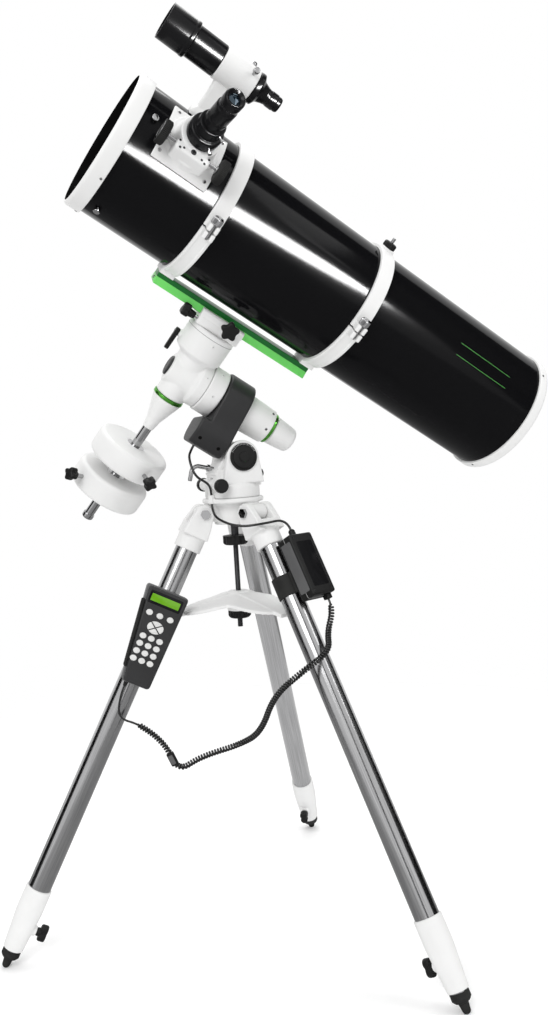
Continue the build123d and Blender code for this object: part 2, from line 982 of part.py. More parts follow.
# Declination clutch lever
with BuildPart() as dec_clutch_lever:
    lever_face = lever_boss.offset(dec_top_radius + lever_boss_height / 2 + running_gap)
    with BuildSketch(lever_face) as lever_shape:
        with Locations((-lever_length / 2 + lever_width / 2, 0)):
            SlotOverall(lever_length, lever_width)
    extrude(lever_shape.sketch, amount=lever_thickness)
    lever_pin = lever_boss.offset(dec_top_radius - lever_boss_height / 2 - 1)
    drum(lever_pin, small_shank_radius, lever_boss_height + 2)
keep(dec_clutch_lever, "dec_clutch_lever")

# Green ring and counterweight cone
with BuildPart() as counterweight_cone:
    ring_low = -dec_low_end - green_ring_width
    turned(
        dec_plane(0),
        (bar_radius + seat_gap, -dec_low_end - seat_gap),
        (green_ring_radius, -dec_low_end - seat_gap),
        (green_ring_radius, ring_low),
        (bar_radius + seat_gap, ring_low),
    )
    turned(
        dec_plane(0),
        (bar_radius + seat_gap, ring_low - seat_gap),
        (dec_low_radius, ring_low - seat_gap),
        (cone_end_radius, -cone_end),
        (bar_radius + seat_gap, -cone_end),
    )
keep(counterweight_cone, "counterweight_cone")

# Counterweight bar with its end stop
with BuildPart() as counterweight_bar:
    turned(
        dec_plane(0),
        (0, -dec_low_end - 1),
        (bar_radius, -dec_low_end - 1),
        (bar_radius, -bar_end + bar_stop_length),
        (bar_stop_radius, -bar_end + bar_stop_length),
        (bar_stop_radius, -bar_end + 2),
        (bar_stop_radius - 2, -bar_end),
        (0, -bar_end),
    )
keep(counterweight_bar, "counterweight_bar")

# Two counterweights, each with a clamp knob in a radial hole
weights = [
    ("upper", upper_weight_place, upper_knob_angle),
    ("lower", lower_weight_place, lower_knob_angle),
]
for name, place, knob_angle in weights:
    middle = dec_plane(-place - weight_thickness / 2)
    out = polar * cos(radians(knob_angle)) + level * sin(radians(knob_angle))
    hole = Plane(middle.origin + out * (bar_radius + running_gap), x_dir=dec, z_dir=out)
    with BuildPart() as weight:
        turned(
            dec_plane(-place - weight_thickness),
            (bar_radius + running_gap, 0),
            (weight_radius, 0),
            (weight_radius, weight_thickness),
            (bar_radius + running_gap, weight_thickness),
        )
        fillet(weight.edges().filter_by(GeomType.CIRCLE).group_by(SortBy.RADIUS)[-1], weight_round)
        drum(hole, screw_radius + running_gap, weight_radius, mode=Mode.SUBTRACT)
    keep(weight, f"{name}_counterweight")
    with BuildPart() as weight_knob:
        knob_reach = weight_knob_reach - bar_radius
        wing_knob(hole.offset(seat_gap), weight_knob_span, weight_knob_height, screw_radius, knob_reach)
    keep(weight_knob, f"{name}_counterweight_knob")

# Declination shaft and the saddle on its end
with BuildPart() as dec_shaft:
    drum(dec_plane(-dec_low_end + 2), dec_shaft_radius, dec_low_end - 2 + dec_top_end)
keep(dec_shaft, "dec_shaft")

saddle_base = dec_top_end + running_gap
bar_half = bar_bottom_width / 2
bar_top_half = bar_top_width / 2
bar_slope = (bar_half - bar_top_half) / jaw_height
with BuildPart() as dovetail_saddle:
    block(saddle_plane(saddle_base), saddle_length, saddle_width, saddle_floor - saddle_base)
    for side in (-1, 1):
        jaw_end = Plane(
            crossing + tube_way * (-saddle_length / 2), x_dir=tube_side * side, z_dir=tube_way
        )
        rise_way = jaw_end.y_dir.dot(dec)
        slab(
            jaw_end,
            [
                (bar_half + running_gap, saddle_floor * rise_way),
                (saddle_width / 2, saddle_floor * rise_way),
                (saddle_width / 2, (saddle_floor + jaw_height) * rise_way),
                (bar_top_half + running_gap, (saddle_floor + jaw_height) * rise_way),
            ],
            saddle_length,
        )
    fillet(dovetail_saddle.edges().filter_by(Axis(crossing, dec)), 3)
    jaw_middle = crossing + dec * (saddle_floor + jaw_height / 2)
    knob_hole = Plane(
        jaw_middle + tube_way * saddle_knob_place - tube_side * bar_half,
        x_dir=tube_way,
        z_dir=-tube_side,
    )
    drum(knob_hole.offset(-screw_radius), screw_radius + running_gap, saddle_width, mode=Mode.SUBTRACT)
    plate_middle = crossing + dec * (saddle_floor - saddle_plate / 2)
    front_hole = Plane(
        plate_middle + tube_way * (saddle_length / 2 - front_knob_inset) - tube_side * front_knob_side,
        x_dir=dec,
        z_dir=tube_way,
    )
    drum(front_hole, small_shank_radius + running_gap, saddle_length, mode=Mode.SUBTRACT)
keep(dovetail_saddle, "dovetail_saddle")

with BuildPart() as saddle_star_knob:
    star_knob(
        knob_hole.offset(bar_slope * jaw_height),
        star_knob_radius,
        star_knob_height,
        screw_radius,
        saddle_width / 2 - bar_half + star_knob_stand,
    )
keep(saddle_star_knob, "saddle_star_knob")

with BuildPart() as saddle_front_knob:
    star_knob(
        front_hole.offset(seat_gap),
        front_knob_radius,
        front_knob_height,
        small_shank_radius,
        front_knob_reach,
    )
keep(saddle_front_knob, "saddle_front_knob")

# Dovetail bar
with BuildPart() as dovetail_bar:
    bar_end_plane = Plane(crossing - tube_way * bar_back, x_dir=tube_side, z_dir=tube_way)
    flip = bar_end_plane.y_dir.dot(dec)
    low = (saddle_floor + seat_gap) * flip
    shoulder = (saddle_floor + jaw_height) * flip
    high = (saddle_floor + bar_height) * flip
    slab(
        bar_end_plane,
        [
            (-bar_half, low),
            (bar_half, low),
            (bar_top_half, shoulder),
            (bar_top_half, high),
            (-bar_top_half, high),
            (-bar_top_half, shoulder),
        ],
        bar_front + bar_back,
    )
keep(dovetail_bar, "dovetail_bar")

# Clamp rings: lower halves with feet, upper halves hinged on the far side
hinge_angle = split_angle + 180
clamp_places = (front_clamp_place, rear_clamp_place)
hinge_distance = ring_outer + knuckle_radius - 1
lug_middle = ring_outer + lug_reach / 2 - 2
split_gap = 1


def ring_half(station, side):
    base = tube_plane(station - ring_width / 2)
    with BuildSketch(base) as half:
        Circle(ring_outer)
        Circle(ring_inner, mode=Mode.SUBTRACT)
        Rectangle(
            3 * ring_outer,
            2 * ring_outer,
            rotation=hinge_angle,
            align=(Align.CENTER, Align.MIN if side > 0 else Align.MAX),
            mode=Mode.SUBTRACT,
        )
    extrude(half.sketch, amount=ring_width)
    cut = Plane(tube_point(station, 0, 0), x_dir=around(hinge_angle), z_dir=around(hinge_angle + 90) * side)
    block(cut, 3 * ring_outer, 2 * ring_width, split_gap / 2, mode=Mode.SUBTRACT)
    block(cut.offset(-split_gap / 2), 3 * ring_outer, 2 * ring_width, split_gap / 2, mode=Mode.SUBTRACT)


def clamp_lug(station, side):
    seat = Plane(
        tube_point(station, lug_middle, split_angle) - around(hinge_angle + 90) * side * split_gap / 2,
        x_dir=around(split_angle),
        z_dir=around(hinge_angle + 90) * -side,
    )
    block(seat, lug_reach, lug_width, lug_height)
    slot = Plane(seat.origin + around(split_angle) * lug_reach / 2, x_dir=seat.x_dir, z_dir=seat.z_dir)
    block(
        slot,
        lug_reach + 2 * clamp_screw_radius,
        2 * (clamp_screw_radius + running_gap),
        lug_height + 1,
        mode=Mode.SUBTRACT,
    )


def knuckle(station, start, length):
    base = Plane(tube_point(station + start, hinge_distance, hinge_angle), x_dir=dec, z_dir=tube_way)
    drum(base, knuckle_radius, length)


middle_half = ring_width / 6
foot_floor = saddle_floor + bar_height + seat_gap
with BuildPart() as ring_lower_halves:
    for place in clamp_places:
        ring_half(place, -1)
        clamp_lug(place, -1)
        foot = Plane(crossing + tube_way * place + dec * foot_floor, x_dir=tube_way, z_dir=dec)
        block(foot, ring_width, ring_foot_width, 16)
        knuckle(place, -middle_half + running_gap, 2 * middle_half - 2 * running_gap)
        drum(tube_plane(place - ring_width), ring_inner, 2 * ring_width, mode=Mode.SUBTRACT)
        pin_foot = tube_point(place - ring_width / 2, hinge_distance, hinge_angle)
        pin = Plane(pin_foot, x_dir=dec, z_dir=tube_way)
        for start in (-ring_width, middle_half):
            clear = Plane(tube_point(place + start, hinge_distance, hinge_angle), x_dir=dec, z_dir=tube_way)
            drum(clear, knuckle_radius + running_gap, ring_width - middle_half, mode=Mode.SUBTRACT)
        drum(pin, pin_radius, ring_width)
keep(ring_lower_halves, "ring_lower_halves")

stud_angle = -6
with BuildPart() as ring_upper_halves:
    for place in clamp_places:
        ring_half(place, 1)
        clamp_lug(place, 1)
        drum(
            Plane(tube_point(place - middle_half, hinge_distance, hinge_angle), x_dir=dec, z_dir=tube_way),
            knuckle_radius + running_gap,
            2 * middle_half,
            mode=Mode.SUBTRACT,
        )
        knuckle(place, -ring_width / 2, ring_width / 2 - middle_half)
        knuckle(place, middle_half, ring_width / 2 - middle_half)
        drum(tube_plane(place - ring_width), ring_inner, 2 * ring_width, mode=Mode.SUBTRACT)
        pin = Plane(tube_point(place - ring_width, hinge_distance, hinge_angle), x_dir=dec, z_dir=tube_way)
        drum(pin, pin_radius + running_gap, 2 * ring_width, mode=Mode.SUBTRACT)
    stud_seat = radial_plane(rear_clamp_place, ring_outer - 2, stud_angle)
    block(stud_seat, ring_width - 4, ring_width - 4, 6)
    drum(stud_seat.offset(-1), stud_radius + running_gap, 12, mode=Mode.SUBTRACT)
    drum(tube_plane(rear_clamp_place - ring_width), ring_inner, 2 * ring_width, mode=Mode.SUBTRACT)
keep(ring_upper_halves, "ring_upper_halves")

# Screws that close the rings: a knob on each upper lug, its shank in the lower lug's slot
screw_depth = lug_height + split_gap / 2
with BuildPart() as ring_clamp_screws:
    for place in clamp_places:
        foot = Plane(
            tube_point(place, lug_middle + 2, split_angle) - around(hinge_angle - 90) * screw_depth,
            x_dir=tube_way,
            z_dir=around(hinge_angle - 90),
        )
        drum(foot, clamp_screw_radius, 2 * screw_depth + 2)
        turned(
            foot.offset(2 * screw_depth + seat_gap),
            (0, 0),
            (8, 0),
            (9, 3),
            (9, 10),
            (6, 15),
            (0, 15),
        )
keep(ring_clamp_screws, "ring_clamp_screws")

with BuildPart() as camera_knob:
    knob_seat = stud_seat.offset(6 + seat_gap)
    drum(stud_seat.offset(2), stud_radius, 4 + seat_gap)
    turned(
        knob_seat,
        (0, 0),
        (camera_knob_radius, 0),
        (camera_knob_radius, 8),
        (camera_knob_radius - 2, 10),
        (0, 10),
    )
    drum(knob_seat.offset(10), stud_radius, stud_length)
keep(camera_knob, "camera_knob")

# Steel tube with the focuser's hole
focus_way = around(focuser_angle)
focus_side = around(focuser_angle + 90)
with BuildPart() as optical_tube:
    drum(tube_plane(-tube_back), tube_radius, tube_front + tube_back)
    drum(tube_plane(-tube_back), tube_radius - tube_wall, tube_front + tube_back, mode=Mode.SUBTRACT)
    drum(
        radial_plane(focuser_place, tube_radius - 30, focuser_angle),
        drawtube_radius + 2,
        60,
        mode=Mode.SUBTRACT,
    )
keep(optical_tube, "optical_tube")

with BuildPart() as front_ring:
    turned(
        tube_plane(0),
        (tube_radius + seat_gap, front_ring_back),
        (end_ring_radius, front_ring_back),
        (end_ring_radius, front_ring_front - 4),
        (end_ring_radius - 3, front_ring_front),
        (mouth_radius + 1, front_ring_front),
        (mouth_radius, front_ring_front - 2),
        (mouth_radius, tube_front + seat_gap),
        (tube_radius + seat_gap, tube_front + seat_gap),
    )
keep(front_ring, "front_ring")

mirror_back = cell_back - cell_plate - mirror_pad
with BuildPart() as mirror_cell:
    turned(
        tube_plane(0),
        (30, -cell_back + 3),
        (tube_radius - 12, -cell_back + 3),
        (tube_radius - 8, -cell_back),
        (end_ring_radius - 3, -cell_back),
        (end_ring_radius, -cell_back + 4),
        (end_ring_radius, -cell_front),
        (tube_radius + seat_gap, -cell_front),
        (tube_radius + seat_gap, -tube_back - seat_gap),
        (tube_radius - 6, -tube_back - seat_gap),
        (tube_radius - 10, -cell_back + cell_plate + 1),
        (30, -cell_back + cell_plate),
    )
    for turn in range(3):
        angle = 30 + 120 * turn
        post = tube_point(-cell_back + cell_plate - 1, mirror_radius * 0.7, angle)
        drum(Plane(post, x_dir=dec, z_dir=tube_way), 9, mirror_pad + 1 - seat_gap)
        grip = tube_point(-cell_back + 4, mirror_radius * 0.7, angle + 30)
        drum(Plane(grip, x_dir=dec, z_dir=-tube_way), 7, 14)
keep(mirror_cell, "mirror_cell")

with BuildPart() as primary_mirror:
    drum(tube_plane(-mirror_back), mirror_radius, mirror_thickness)
    turned(
        tube_plane(-mirror_back + mirror_thickness),
        (0, -3),
        (mirror_radius * 0.5, -2.2),
        (mirror_radius - 1, 0),
        (mirror_radius - 1, 2),
        (0, 2),
        mode=Mode.SUBTRACT,
    )
keep(primary_mirror, "primary_mirror")

# Spider: hub on four vanes that reach the tube's wall
spider_reach = tube_radius - tube_wall - seat_gap
secondary_top = focuser_place + secondary_radius
with BuildPart() as spider:
    drum(tube_plane(spider_place - vane_depth / 2), spider_hub_radius, vane_depth)
    drum(tube_plane(secondary_top + seat_gap), spider_hub_radius * 0.7, spider_place - secondary_top)
    for turn in range(4):
        vane_way = around(focuser_angle + 90 * turn)
        vane = Plane(tube_plane(spider_place).origin, x_dir=tube_way, z_dir=vane_way)
        block(vane, vane_depth, vane_thickness, spider_reach)
    # Secondary mirror: a round stub cut at 45 degrees, facing the focuser
    drum(tube_plane(focuser_place - secondary_radius), secondary_radius, 2 * secondary_radius)
    facing = Plane(tube_plane(focuser_place).origin, x_dir=focus_side, z_dir=focus_way - tube_way)
    block(facing, 4 * secondary_radius, 4 * secondary_radius, 2 * secondary_radius, mode=Mode.SUBTRACT)
keep(spider, "spider")

# Focuser base: curved plate, round body and the bearing block for the axle
axle_line = tube_point(focuser_place, axle_rise, focuser_angle) - focus_side * axle_offset
with BuildPart() as focuser_base:
    plate_inner = tube_radius + seat_gap
    with BuildSketch(tube_plane(focuser_place - plate_length / 2)) as plate:
        Circle(plate_inner + plate_thickness)
        Circle(plate_inner, mode=Mode.SUBTRACT)
        wedge = 2 * tube_radius
        left = radians(focuser_angle - plate_half_angle)
        right = radians(focuser_angle + plate_half_angle)
        with BuildLine():
            Polyline(
                (0, 0),
                (wedge * cos(left), wedge * sin(left)),
                (wedge * cos(right), wedge * sin(right)),
                close=True,
            )
        make_face(mode=Mode.INTERSECT)
    extrude(plate.sketch, amount=plate_length)
    body_foot = tube_radius - focuser_root
    drum(radial_plane(focuser_place, body_foot, focuser_angle), focuser_body_radius, focuser_top - body_foot)
    bearing = Plane(axle_line - focus_way * 24, x_dir=tube_way, z_dir=focus_way)
    block(bearing, 2 * axle_half - focus_knob_thickness - 24, 26, 34)
    drum(tube_plane(focuser_place - plate_length), plate_inner, 2 * plate_length, mode=Mode.SUBTRACT)
    drum(
        radial_plane(focuser_place, 0, focuser_angle),
        drawtube_radius + running_gap,
        2 * focuser_top,
        mode=Mode.SUBTRACT,
    )
    drum(
        Plane(axle_line - tube_way * 2 * axle_half, x_dir=dec, z_dir=tube_way),
        axle_radius + running_gap,
        4 * axle_half,
        mode=Mode.SUBTRACT,
    )
keep(focuser_base, "focuser_base")

# Drawtube: tube, black collar and eyepiece adapter
drawtube_bore = drawtube_radius - drawtube_wall
with BuildPart() as drawtube:
    turned(
        radial_plane(focuser_place, 0, focuser_angle),
        (drawtube_bore, drawtube_bottom),
        (drawtube_radius, drawtube_bottom),
        (drawtube_radius, collar_bottom),
        (collar_radius, collar_bottom),
        (collar_radius, collar_top - 2),
        (collar_radius - 2, collar_top),
        (adapter_radius, collar_top),
        (adapter_radius, adapter_top - 1),
        (adapter_radius - 1, adapter_top),
        (eyepiece_barrel + running_gap, adapter_top),
        (eyepiece_barrel + running_gap, collar_bottom),
        (drawtube_bore, collar_bottom),
    )
keep(drawtube, "drawtube")

with BuildPart() as focus_knobs:
    drum(Plane(axle_line - tube_way * axle_half, x_dir=dec, z_dir=tube_way), axle_radius, 2 * axle_half)
    for side in (-1, 1):
        inner = axle_half - focus_knob_thickness / 2
        knob = Plane(axle_line + tube_way * side * inner, x_dir=dec, z_dir=tube_way * side)
        turned(
            knob,
            (0, 0),
            (focus_knob_radius - 3, 0),
            (focus_knob_radius, 2),
            (focus_knob_radius, focus_knob_thickness - 1),
            (focus_knob_radius - 1, focus_knob_thickness),
            (0, focus_knob_thickness),
        )
keep(focus_knobs, "focus_knobs")

with BuildPart() as eyepiece:
    turned(
        radial_plane(focuser_place, 0, focuser_angle),
        (eyepiece_barrel - 2, collar_bottom + 4),
        (eyepiece_barrel, collar_bottom + 4),
        (eyepiece_barrel, adapter_top + seat_gap),
        (eyepiece_radius, adapter_top + seat_gap),
        (eyepiece_radius, eyepiece_top - 24),
        (eyepiece_radius - 2, eyepiece_top - 21),
        (eyepiece_radius - 1, eyepiece_top - 3),
        (eyepiece_radius - 3, eyepiece_top),
        (eyepiece_radius - 8, eyepiece_top - 4),
        (0, eyepiece_top - 6),
        (0, adapter_top + 8),
        (eyepiece_barrel - 2, adapter_top + 6),
    )
keep(eyepiece, "eyepiece")

# Finder and its bracket
finder_axis = Plane(tube_point(0, finder_distance, finder_angle), x_dir=around(finder_angle), z_dir=tube_way)
with BuildPart() as finder_bracket:
    ring_front = finder_tube_back - bracket_gap
    ring_back = finder_neck_back + bracket_gap
    collar_middle = (stalk_front + stalk_back) / 2
    turned(
        finder_axis,
        (bracket_bore, ring_back),
        (bracket_radius - 2, ring_back),
        (bracket_radius, stalk_back),
        (bracket_radius, ring_front),
        (bracket_bore, ring_front),
        (bracket_bore, collar_middle + 4),
        (finder_neck_radius + running_gap, collar_middle + 2),
        (finder_neck_radius + running_gap, collar_middle - 2),
        (bracket_bore, collar_middle - 4),
    )
    stalk = Plane(
        tube_point((stalk_front + stalk_back) / 2, tube_radius - 4, finder_angle),
        x_dir=tube_way,
        z_dir=around(finder_angle),
    )
    block(stalk, stalk_front - stalk_back, stalk_width, finder_distance - tube_radius + 4 - bracket_bore - 2)
    block(stalk, stalk_front - stalk_back + 16, stalk_width + 10, 10)
    for side in (-1, 1):
        spread = around(finder_angle) * cos(radians(50)) + around(finder_angle + 90) * sin(radians(50)) * side
        screw_row = finder_axis.origin + tube_way * (ring_back + thumb_screw_place)
        screw = Plane(screw_row + spread * (bracket_radius - 4), x_dir=tube_way, z_dir=spread)
        drum(screw, thumb_screw_radius, thumb_screw_length)
        drum(screw.offset(thumb_screw_length - thumb_head_height + 2), thumb_head_radius, thumb_head_height)
    drum(tube_plane(stalk_back - 60), tube_radius + seat_gap, 160, mode=Mode.SUBTRACT)
keep(finder_bracket, "finder_bracket")

with BuildPart() as finder_tube:
    turned(
        finder_axis,
        (0, finder_front - 14),
        (finder_cell_radius - 3, finder_front - 12),
        (finder_cell_radius - 2, finder_front),
        (finder_cell_radius, finder_front),
        (finder_cell_radius, finder_cell_back + 4),
        (finder_tube_radius, finder_cell_back),
        (finder_tube_radius, finder_tube_back),
        (finder_neck_radius, finder_tube_back),
        (finder_neck_radius, finder_neck_back),
        (finder_flange_radius, finder_neck_back),
        (finder_flange_radius, finder_flange_back),
        (finder_eye_radius + 4, finder_flange_back - 6),
        (finder_eye_radius, finder_flange_back - 18),
        (finder_eye_radius, finder_back + 2),
        (finder_eye_radius - 2, finder_back),
        (finder_eye_radius - 6, finder_back),
        (finder_eye_radius - 7, finder_back + 4),
        (0, finder_back + 6),
    )
keep(finder_tube, "finder_tube")

# Control box strapped to the outer side of the west leg
box_middle = (box_east - box_west) / 2
box_floor = sleeve_radius + box_gap
with BuildPart() as control_box:
    box_place = west_leg.point(box_start + box_length / 2, box_floor, box_middle)
    box_base = Plane(box_place, x_dir=west_leg.down, z_dir=west_leg.outer)
    block(box_base, box_length, box_west + box_east, box_depth)
    fillet(control_box.edges().filter_by(Axis(box_base.origin, west_leg.outer)), 5)
    plug_place = west_leg.point(box_start, box_floor + box_depth / 2, box_middle)
    plug = Plane(plug_place, x_dir=west_leg.outer, z_dir=-west_leg.down)
    drum(plug, plug_radius, plug_length)
    socket = Plane(
        west_leg.point(box_start + box_length, box_floor + box_depth / 2, box_east - 9),
        x_dir=west_leg.outer,
        z_dir=west_leg.down,
    )
    block(socket, socket_width, socket_width, socket_length)
    strap_place = west_leg.plane(box_start + box_length / 2 - strap_width / 2)
    drum(strap_place, leg_tube_radius + seat_gap + strap_thickness, strap_width)
    strap_foot = west_leg.point(box_start + box_length / 2, leg_tube_radius, 0)
    block(
        Plane(strap_foot, x_dir=west_leg.down, z_dir=west_leg.outer),
        strap_width,
        2 * box_west,
        box_floor - leg_tube_radius + 1,
    )
    drum(strap_place, leg_tube_radius + seat_gap, strap_width, mode=Mode.SUBTRACT)
keep(control_box, "control_box")

# Handset on a holder on the camera side of the north leg
face_way = north.tangent
face_floor = leg_tube_radius + handset_gap
handset_face = face_floor + handset_thickness
handset_end = handset_start + handset_length


def handset_plane(height):
    return Plane(north.point(0, 0, height), x_dir=north.outer, z_dir=face_way)


down_sign = handset_plane(0).y_dir.dot(north.down)


def on_handset(along, across):
    return (across, along * down_sign)


digit_rows = [handset_start + digit_keys_place + digit_key_pitch * row for row in range(4)]
keys = [on_handset(handset_start + top_keys_place, across) for across in (26, 6, -14)]
keys += [on_handset(along, across) for along in digit_rows for across in (20, 4, -12)]
arrow_along = handset_start + arrow_keys_place
arrow_keys = [on_handset(arrow_along + 8 * dy, 5 + 10 * dx) for dx, dy in ((0, -1), (1, 0), (0, 1), (-1, 0))]
with BuildPart() as handset:
    with BuildSketch(handset_plane(face_floor)) as shell:
        with BuildLine():
            Polyline(
                on_handset(handset_start, handset_left),
                on_handset(handset_start, -handset_right),
                on_handset(handset_end, -handset_right + 2),
                on_handset(handset_end, handset_low_left),
                close=True,
            )
        make_face()
        fillet(shell.vertices(), 5)
    extrude(shell.sketch, amount=handset_thickness)
    chamfer(handset.faces().sort_by(Axis((0, 0, 0), face_way))[-1].edges(), 2)
    with BuildSketch(handset_plane(handset_face)) as screen:
        with Locations(on_handset(handset_start + 20, 7)):
            Rectangle(60, 22)
    extrude(screen.sketch, amount=-1, mode=Mode.SUBTRACT)
    with BuildSketch(handset_plane(handset_face)) as holes:
        with Locations(*keys):
            Ellipse(key_half_width + running_gap, key_half_height + running_gap)
        with Locations(*arrow_keys):
            Circle(arrow_key_radius + running_gap)
    extrude(holes.sketch, amount=-key_height - key_travel - seat_gap, mode=Mode.SUBTRACT)
    holder = Plane(north.point(handset_start + 70, 0, leg_tube_radius - 2), x_dir=north.outer, z_dir=face_way)
    block(holder, 30, 60, handset_gap + 3)
    lead_root = north.point(handset_end, lead_across, face_floor + handset_thickness / 2)
    lead = Plane(lead_root, x_dir=north.outer, z_dir=north.down)
    drum(lead, 2.5 * wire_radius, lead_length)
    drum(north.plane(tube_start), leg_tube_radius + seat_gap, clamp_start - tube_start, mode=Mode.SUBTRACT)
keep(handset, "handset")

with BuildPart() as handset_keys:
    with BuildSketch(handset_plane(handset_face - key_height)) as caps:
        with Locations(*keys):
            Ellipse(key_half_width, key_half_height)
        with Locations(*arrow_keys):
            Circle(arrow_key_radius)
    extrude(caps.sketch, amount=key_height + key_stand)
keep(handset_keys, "handset_keys")

# Curly handset cord, as wide as its curls, from the handset to the box
lead_foot = handset_end + lead_length + seat_gap
socket_foot = box_start + box_length + socket_length + seat_gap
cord_route = [
    north.point(lead_foot, lead_across, face_floor + handset_thickness / 2),
    north.point(lead_foot + cord_straight, lead_across, face_floor + handset_thickness / 2),
    (-240, -9, 424),
    (-205, -24, 412),
    (-165, -40, 375),
    (-147, -48, 325),
    (-110, -64, 350),
    (-45, -95, 370),
    (-20, -140, 400),
    (-8, -180, 470),
    (30, -222, 515),
    (85, -212, 540),
    (96, -180, 565),
    west_leg.point(socket_foot + cord_straight, box_floor + box_depth / 2, box_east - 9),
    west_leg.point(socket_foot, box_floor + box_depth / 2, box_east - 9),
]


def rounded(points):
    """Joins the points with straight runs and, at each corner, an arc that uses most of the shorter run."""
    here = [Vector(p) for p in points]
    radii = []
    for before, corner, after in zip(here, here[1:], here[2:]):
        into = corner - before
        out = after - corner
        half_turn = acos(max(-1, min(1, into.normalized().dot(out.normalized())))) / 2
        radii.append(0.45 * min(into.length, out.length) / tan(max(half_turn, 0.01)))
    print("corner radii", [round(r, 1) for r in radii])
    start = here[0]
    for index, radius in enumerate(radii):
        before, corner, after = here[index : index + 3]
        into = (corner - before).normalized()
        out = (after - corner).normalized()
        reach = 0.45 * min((corner - before).length, (after - corner).length)
        Line(start, corner - into * reach)
        TangentArc(corner - into * reach, corner + out * reach, tangent=into)
        start = corner + out * reach
    Line(start, here[-1])


with BuildPart() as coiled_cord:
    with BuildLine() as cord_line:
        rounded(cord_route)
    print("curly cord", round(cord_line.wire().length), "mm")
    with BuildSketch(Plane(cord_line.wire() @ 0, z_dir=cord_line.wire() % 0)) as cord_section:
        Circle(curl_radius)
    sweep(cord_section.sketch, path=cord_line.wire())
keep(coiled_cord, "coiled_cord")

# Motor cable: a lead from the cover down to the hub's clip, and on round the hub to the control box
cover_exit = crossing - polar * cable_exit - polar_up * (cover_lobe_low + seat_gap) + west * cable_exit_west
lead_route = [
    cover_exit,
    cover_exit - polar_up * clip_straight,
    (-88, -30, 876),
    (-84, -50, 842),
    (-56, -36, 828),
    clip_place + up * (clip_height / 2 + clip_straight),
    clip_place + up * (clip_height / 2),
]
cable_route = [
    clip_place - up * (clip_height / 2),
    clip_place - up * (clip_height / 2 + clip_straight),
    (-50, -54, 764),
    (-22, -92, 750),
    (18, -109, 754),
    west_leg.point(box_start - plug_length - 22, box_floor + box_depth / 2, box_middle),
    west_leg.point(box_start - plug_length - seat_gap, box_floor + box_depth / 2, box_middle),
]
with BuildPart() as motor_cable:
    for route in (lead_route, cable_route):
        with BuildLine() as cable_line:
            rounded(route)
        print("motor cable", round(cable_line.wire().length), "mm")
        with BuildSketch(Plane(cable_line.wire() @ 0, z_dir=cable_line.wire() % 0)) as cable_section:
            Circle(cable_radius)
        sweep(cable_section.sketch, path=cable_line.wire())
keep(motor_cable, "motor_cable")
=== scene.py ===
import json
from math import radians

import bmesh
import bpy
import numpy as np
from mathutils import Matrix


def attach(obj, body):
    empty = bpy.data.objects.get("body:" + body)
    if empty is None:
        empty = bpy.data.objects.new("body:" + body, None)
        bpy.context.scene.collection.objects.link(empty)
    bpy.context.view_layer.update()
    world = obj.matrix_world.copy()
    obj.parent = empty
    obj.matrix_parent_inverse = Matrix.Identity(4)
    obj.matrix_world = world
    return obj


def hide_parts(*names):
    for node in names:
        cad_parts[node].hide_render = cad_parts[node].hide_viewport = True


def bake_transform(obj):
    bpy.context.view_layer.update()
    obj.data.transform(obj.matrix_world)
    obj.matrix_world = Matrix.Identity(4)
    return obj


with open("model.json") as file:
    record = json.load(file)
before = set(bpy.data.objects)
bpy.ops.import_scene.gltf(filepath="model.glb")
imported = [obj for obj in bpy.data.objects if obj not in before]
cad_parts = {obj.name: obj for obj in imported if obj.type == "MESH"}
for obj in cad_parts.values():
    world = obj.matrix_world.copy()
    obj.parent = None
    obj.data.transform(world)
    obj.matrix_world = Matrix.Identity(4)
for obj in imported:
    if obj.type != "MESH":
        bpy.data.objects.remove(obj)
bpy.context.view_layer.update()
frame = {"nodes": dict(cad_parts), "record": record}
print("frame loaded:", len(frame["nodes"]), "nodes")

# All shapes are worked out in millimetres and go into the meshes in metres
mm = 0.001
joint = {row["name"]: row for row in frame["record"]["behaviour"]["joints"]}
up = np.array([0.0, 0.0, 1.0])
east = np.array([0.0, 1.0, 0.0])
south = np.array([1.0, 0.0, 0.0])


def unit(way):
    return np.asarray(way, float) / np.linalg.norm(way)


def jointWay(name):
    return unit(joint[name]["axis"])


def jointSpot(name):
    return np.array(joint[name]["pos_m"]) / mm


polar = jointWay("right_ascension_turn")
crossing = jointSpot("right_ascension_turn")
polarUp = np.cross(east, polar)
decWay = jointWay("declination_turn")
level = np.cross(polar, decWay)
tubeWay = jointWay("tube_roll")
tubeMid = jointSpot("tube_roll")
tubeSide = np.cross(tubeWay, decWay)
pivot = jointSpot("altitude_turn")
hubTop = jointSpot("azimuth_turn")[2]


# A place: an origin and three square directions; the shape's own z goes along zWay
def place(origin, zWay, xWay):
    z = unit(zWay)
    x = unit(xWay - z * np.dot(xWay, z))
    return np.asarray(origin, float), np.stack([x, np.cross(z, x), z])


def moved(at, distance):
    return at[0] + at[1][2] * distance, at[1]


def put(at, local):
    return at[0] + local @ at[1]


def polarAt(along):
    return place(crossing + polar * along, polar, polarUp)


def decAt(along):
    return place(crossing + decWay * along, decWay, polar)


def tubeAt(station):
    return place(tubeMid + tubeWay * station, tubeWay, decWay)


# Direction at an angle from the first way towards the second
def between(first, second, angle):
    return first * np.cos(radians(angle)) + second * np.sin(radians(angle))


def aroundTube(angle):
    return between(decWay, tubeSide, angle)


def tubePoint(station, distance, angle):
    return tubeMid + tubeWay * station + aroundTube(angle) * distance


def radialAt(station, distance, angle):
    return place(tubePoint(station, distance, angle), aroundTube(angle), tubeWay)


